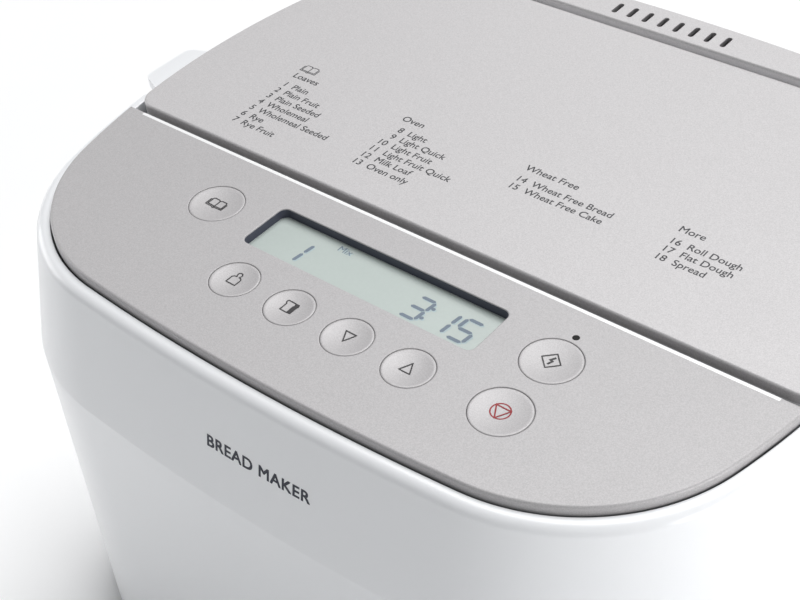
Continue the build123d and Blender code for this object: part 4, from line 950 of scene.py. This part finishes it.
def bar(start, end):
    """One bar of a figure: a line between two ends, widened in the middle and pointed at both ends."""
    size = np.array([DIGIT_WIDTH, DIGIT_HEIGHT - BAR])
    start, end = np.array(start) * size, np.array(end) * size
    ahead = unit(end - start)
    start, end = start + ahead * BAR_GAP, end - ahead * BAR_GAP
    side = np.array([-ahead[1], ahead[0]]) * BAR / 2
    inset = ahead * BAR / 2
    near, far = start + inset, end - inset
    corners = np.array([start, near - side, far - side, end, far + side, near + side])
    corners[:, 0] += corners[:, 1] * LEAN
    return corners


def display_figures():
    """The display's figures and a short word, with the faint shade that each casts on the display's back."""
    base = (window_low[1] + window_high[1]) / 2 / MM + FIGURE_BASE
    for name, material, shift, lift in (
        ("display_shades", segment_shade, SHADE_SHIFT, 0.01), ("display_figures", segment_ink, (0, 0), 0.03),
    ):
        marks = Printing()
        height = glass_high.z + lift * MM
        for x, figure in DISPLAY_FIGURES:
            for lit in LIT[figure]:
                marks.shape(bar(*BARS[lit]), ((x + shift[0]) * MM, (base + BAR / 2 + shift[1]) * MM, height))
        for x, y in COLON:
            marks.shape(circle((0, 0), COLON_RADIUS, 16), ((x + shift[0]) * MM, (y + shift[1]) * MM, height))
        word, x, y = DISPLAY_WORD
        marks.text(word, ((x + shift[0]) * MM, (y + shift[1] * 0.5) * MM, height), DISPLAY_CAPITAL)
        marks.print_on(name, material, "case", "print_ink")


display_figures()

WORD_MIDDLE = 9.5 * MM
WORD_HEIGHT = 212.2 * MM
WORD_CAPITAL = 5.6 * MM
WORD_LIFT = 0.04 * MM
WORD_WEIGHT = 0.38 * MM
WORD_SPREAD = 1.06


def front_word():
    """The word on the flared front wall: flat letters laid on the wall, which leans back and bows forward."""
    points, faces = letters("BREAD MAKER", WORD_CAPITAL, "CENTER", WORD_SPREAD, WORD_WEIGHT)
    x = points[:, 0] + WORD_MIDDLE
    slope = FLARE_REACH / FLARE_HEIGHT
    z = WORD_HEIGHT + points[:, 1] / math.sqrt(1 + slope**2)
    reach = FRONT_RADIUS + RIM_WIDTH + slope * (rim_top - z) + WORD_LIFT + points[:, 2]
    y = FRONT_RADIUS - half_depth - np.sqrt(reach**2 - x**2)
    word = Printing()
    word.add(np.c_[x, y, z], faces)
    word.print_on("front_word", badge_ink, "case", "print_ink")


front_word()


# ---------------------------------------------------------------- cord inlet

GLAND_FLANGE = 1.2 * MM
GLAND_SKIN = 0.2 * MM
GLAND_SINK = 1.0 * MM
GLAND_HOLE_SHARE = 0.42


def cord_bush():
    """The bush of the cord's inlet, closed by a thin skin: a ring turned about the inlet's axis and laid on
    the bowed rear wall."""
    low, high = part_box("cord_gland")
    middle_x, middle_z = (low.x + high.x) / 2, (low.z + high.z) / 2
    radius = (high.x - low.x) / 2
    hole = radius * GLAND_HOLE_SHARE
    profile = soften(
        [
            (radius, -GLAND_SINK), (radius, GLAND_FLANGE), (hole, GLAND_FLANGE), (hole, GLAND_SKIN),
            (0, GLAND_SKIN),
        ],
        [0.8 * MM, 0.4 * MM, 0.2 * MM],
        4,
    )
    angle = np.linspace(0, 2 * math.pi, 65)[:-1]
    x = middle_x + profile[:, 0, None] * np.cos(angle)
    z = middle_z + profile[:, 0, None] * np.sin(angle)
    wall = half_depth - FRONT_RADIUS + np.sqrt((FRONT_RADIUS + wall_grow) ** 2 - x**2)
    surface = Surface()
    surface.grid(np.stack([x, wall + profile[:, 1, None], z], axis=2), flip=True)
    bush = surface.piece("cord_bush", black_plastic, "case", "black_plastic")
    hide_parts("cord_gland")


cord_bush()


# ---------------------------------------------------------------- camera and light

CAMERA_PLACE = Vector((0.3182, -0.4220, 0.6347))
CAMERA_LOOK = Vector((-0.5081, 0.5589, -0.6554))
CAMERA_ROLL = math.radians(5.06)
CAMERA_LENS = 64.97


def camera():
    """The camera: looks along CAMERA_LOOK, turned by CAMERA_ROLL about that line."""
    ahead = CAMERA_LOOK.normalized()
    level = ahead.cross(Vector((0, 0, 1))).normalized()
    up = level.cross(ahead)
    right = level * math.cos(CAMERA_ROLL) - up * math.sin(CAMERA_ROLL)
    top = (-ahead).cross(right)
    data = bpy.data.cameras.new("camera")
    data.lens = CAMERA_LENS
    data.sensor_width = 36.0
    data.clip_start, data.clip_end = 0.01, 50.0
    view = bpy.data.objects.new("camera", data)
    axes = Matrix((right, top, -ahead)).transposed()
    view.matrix_world = Matrix.Translation(CAMERA_PLACE) @ axes.to_4x4()
    bpy.context.scene.collection.objects.link(view)
    bpy.context.scene.camera = view


camera()


def area_light(name, place, target, width, height, power):
    """A soft box at place, facing target."""
    data = bpy.data.lights.new(name, "AREA")
    data.shape = "RECTANGLE"
    data.size, data.size_y = width, height
    data.energy = power
    light = bpy.data.objects.new(name, data)
    light.location = place
    light.rotation_mode = "QUATERNION"
    light.rotation_quaternion = (Vector(target) - Vector(place)).to_track_quat("-Z", "Y")
    bpy.context.scene.collection.objects.link(light)


def sun(name, direction, strength, spread):
    """A distant soft light that shines along direction, spread over an angle in degrees."""
    data = bpy.data.lights.new(name, "SUN")
    data.energy = strength
    data.angle = math.radians(spread)
    light = bpy.data.objects.new(name, data)
    light.rotation_mode = "QUATERNION"
    light.rotation_quaternion = Vector(direction).to_track_quat("-Z", "Y")
    bpy.context.scene.collection.objects.link(light)


FLOOR_REACH = 6.0


def studio():
    """Pale floor, dim sky, a broad sun high behind, a long low strip behind the left, a fill each side."""
    world = bpy.data.worlds.new("studio")
    world.use_nodes = True
    world.node_tree.nodes["Background"].inputs["Color"].default_value = (0.93, 0.96, 1.0, 1)
    world.node_tree.nodes["Background"].inputs["Strength"].default_value = 0.18
    bpy.context.scene.world = world
    sun("overhead", (0.08, -0.52, -1.0), 2.75, 50)
    area_light("back_strip", (-0.95, 2.35, 0.85), (0, 0, 0.24), 1.8, 0.3, 6.0)
    area_light("right_fill", (2.0, -0.1, 0.45), (0.15, -0.1, 0.12), 1.0, 1.0, 22.0)
    area_light("left_fill", (-2.0, -0.5, 0.6), (-0.15, -0.1, 0.15), 1.0, 1.0, 10.0)
    floor_finish = Finish("studio_floor", (0.90, 0.90, 0.90), 0.6)
    floor_finish.tint(floor_finish.noise(0.3), 0.01)
    size = FLOOR_REACH
    mesh = bpy.data.meshes.new("floor")
    corners = [(-size, -size, 0), (size, -size, 0), (size, size, 0), (-size, size, 0)]
    mesh.from_pydata(corners, [], [(0, 1, 2, 3)])
    mesh.materials.append(floor_finish.material)
    floor = bpy.data.objects.new("floor", mesh)
    bpy.context.scene.collection.objects.link(floor)
    bpy.context.scene.view_settings.view_transform = "Standard"


studio()
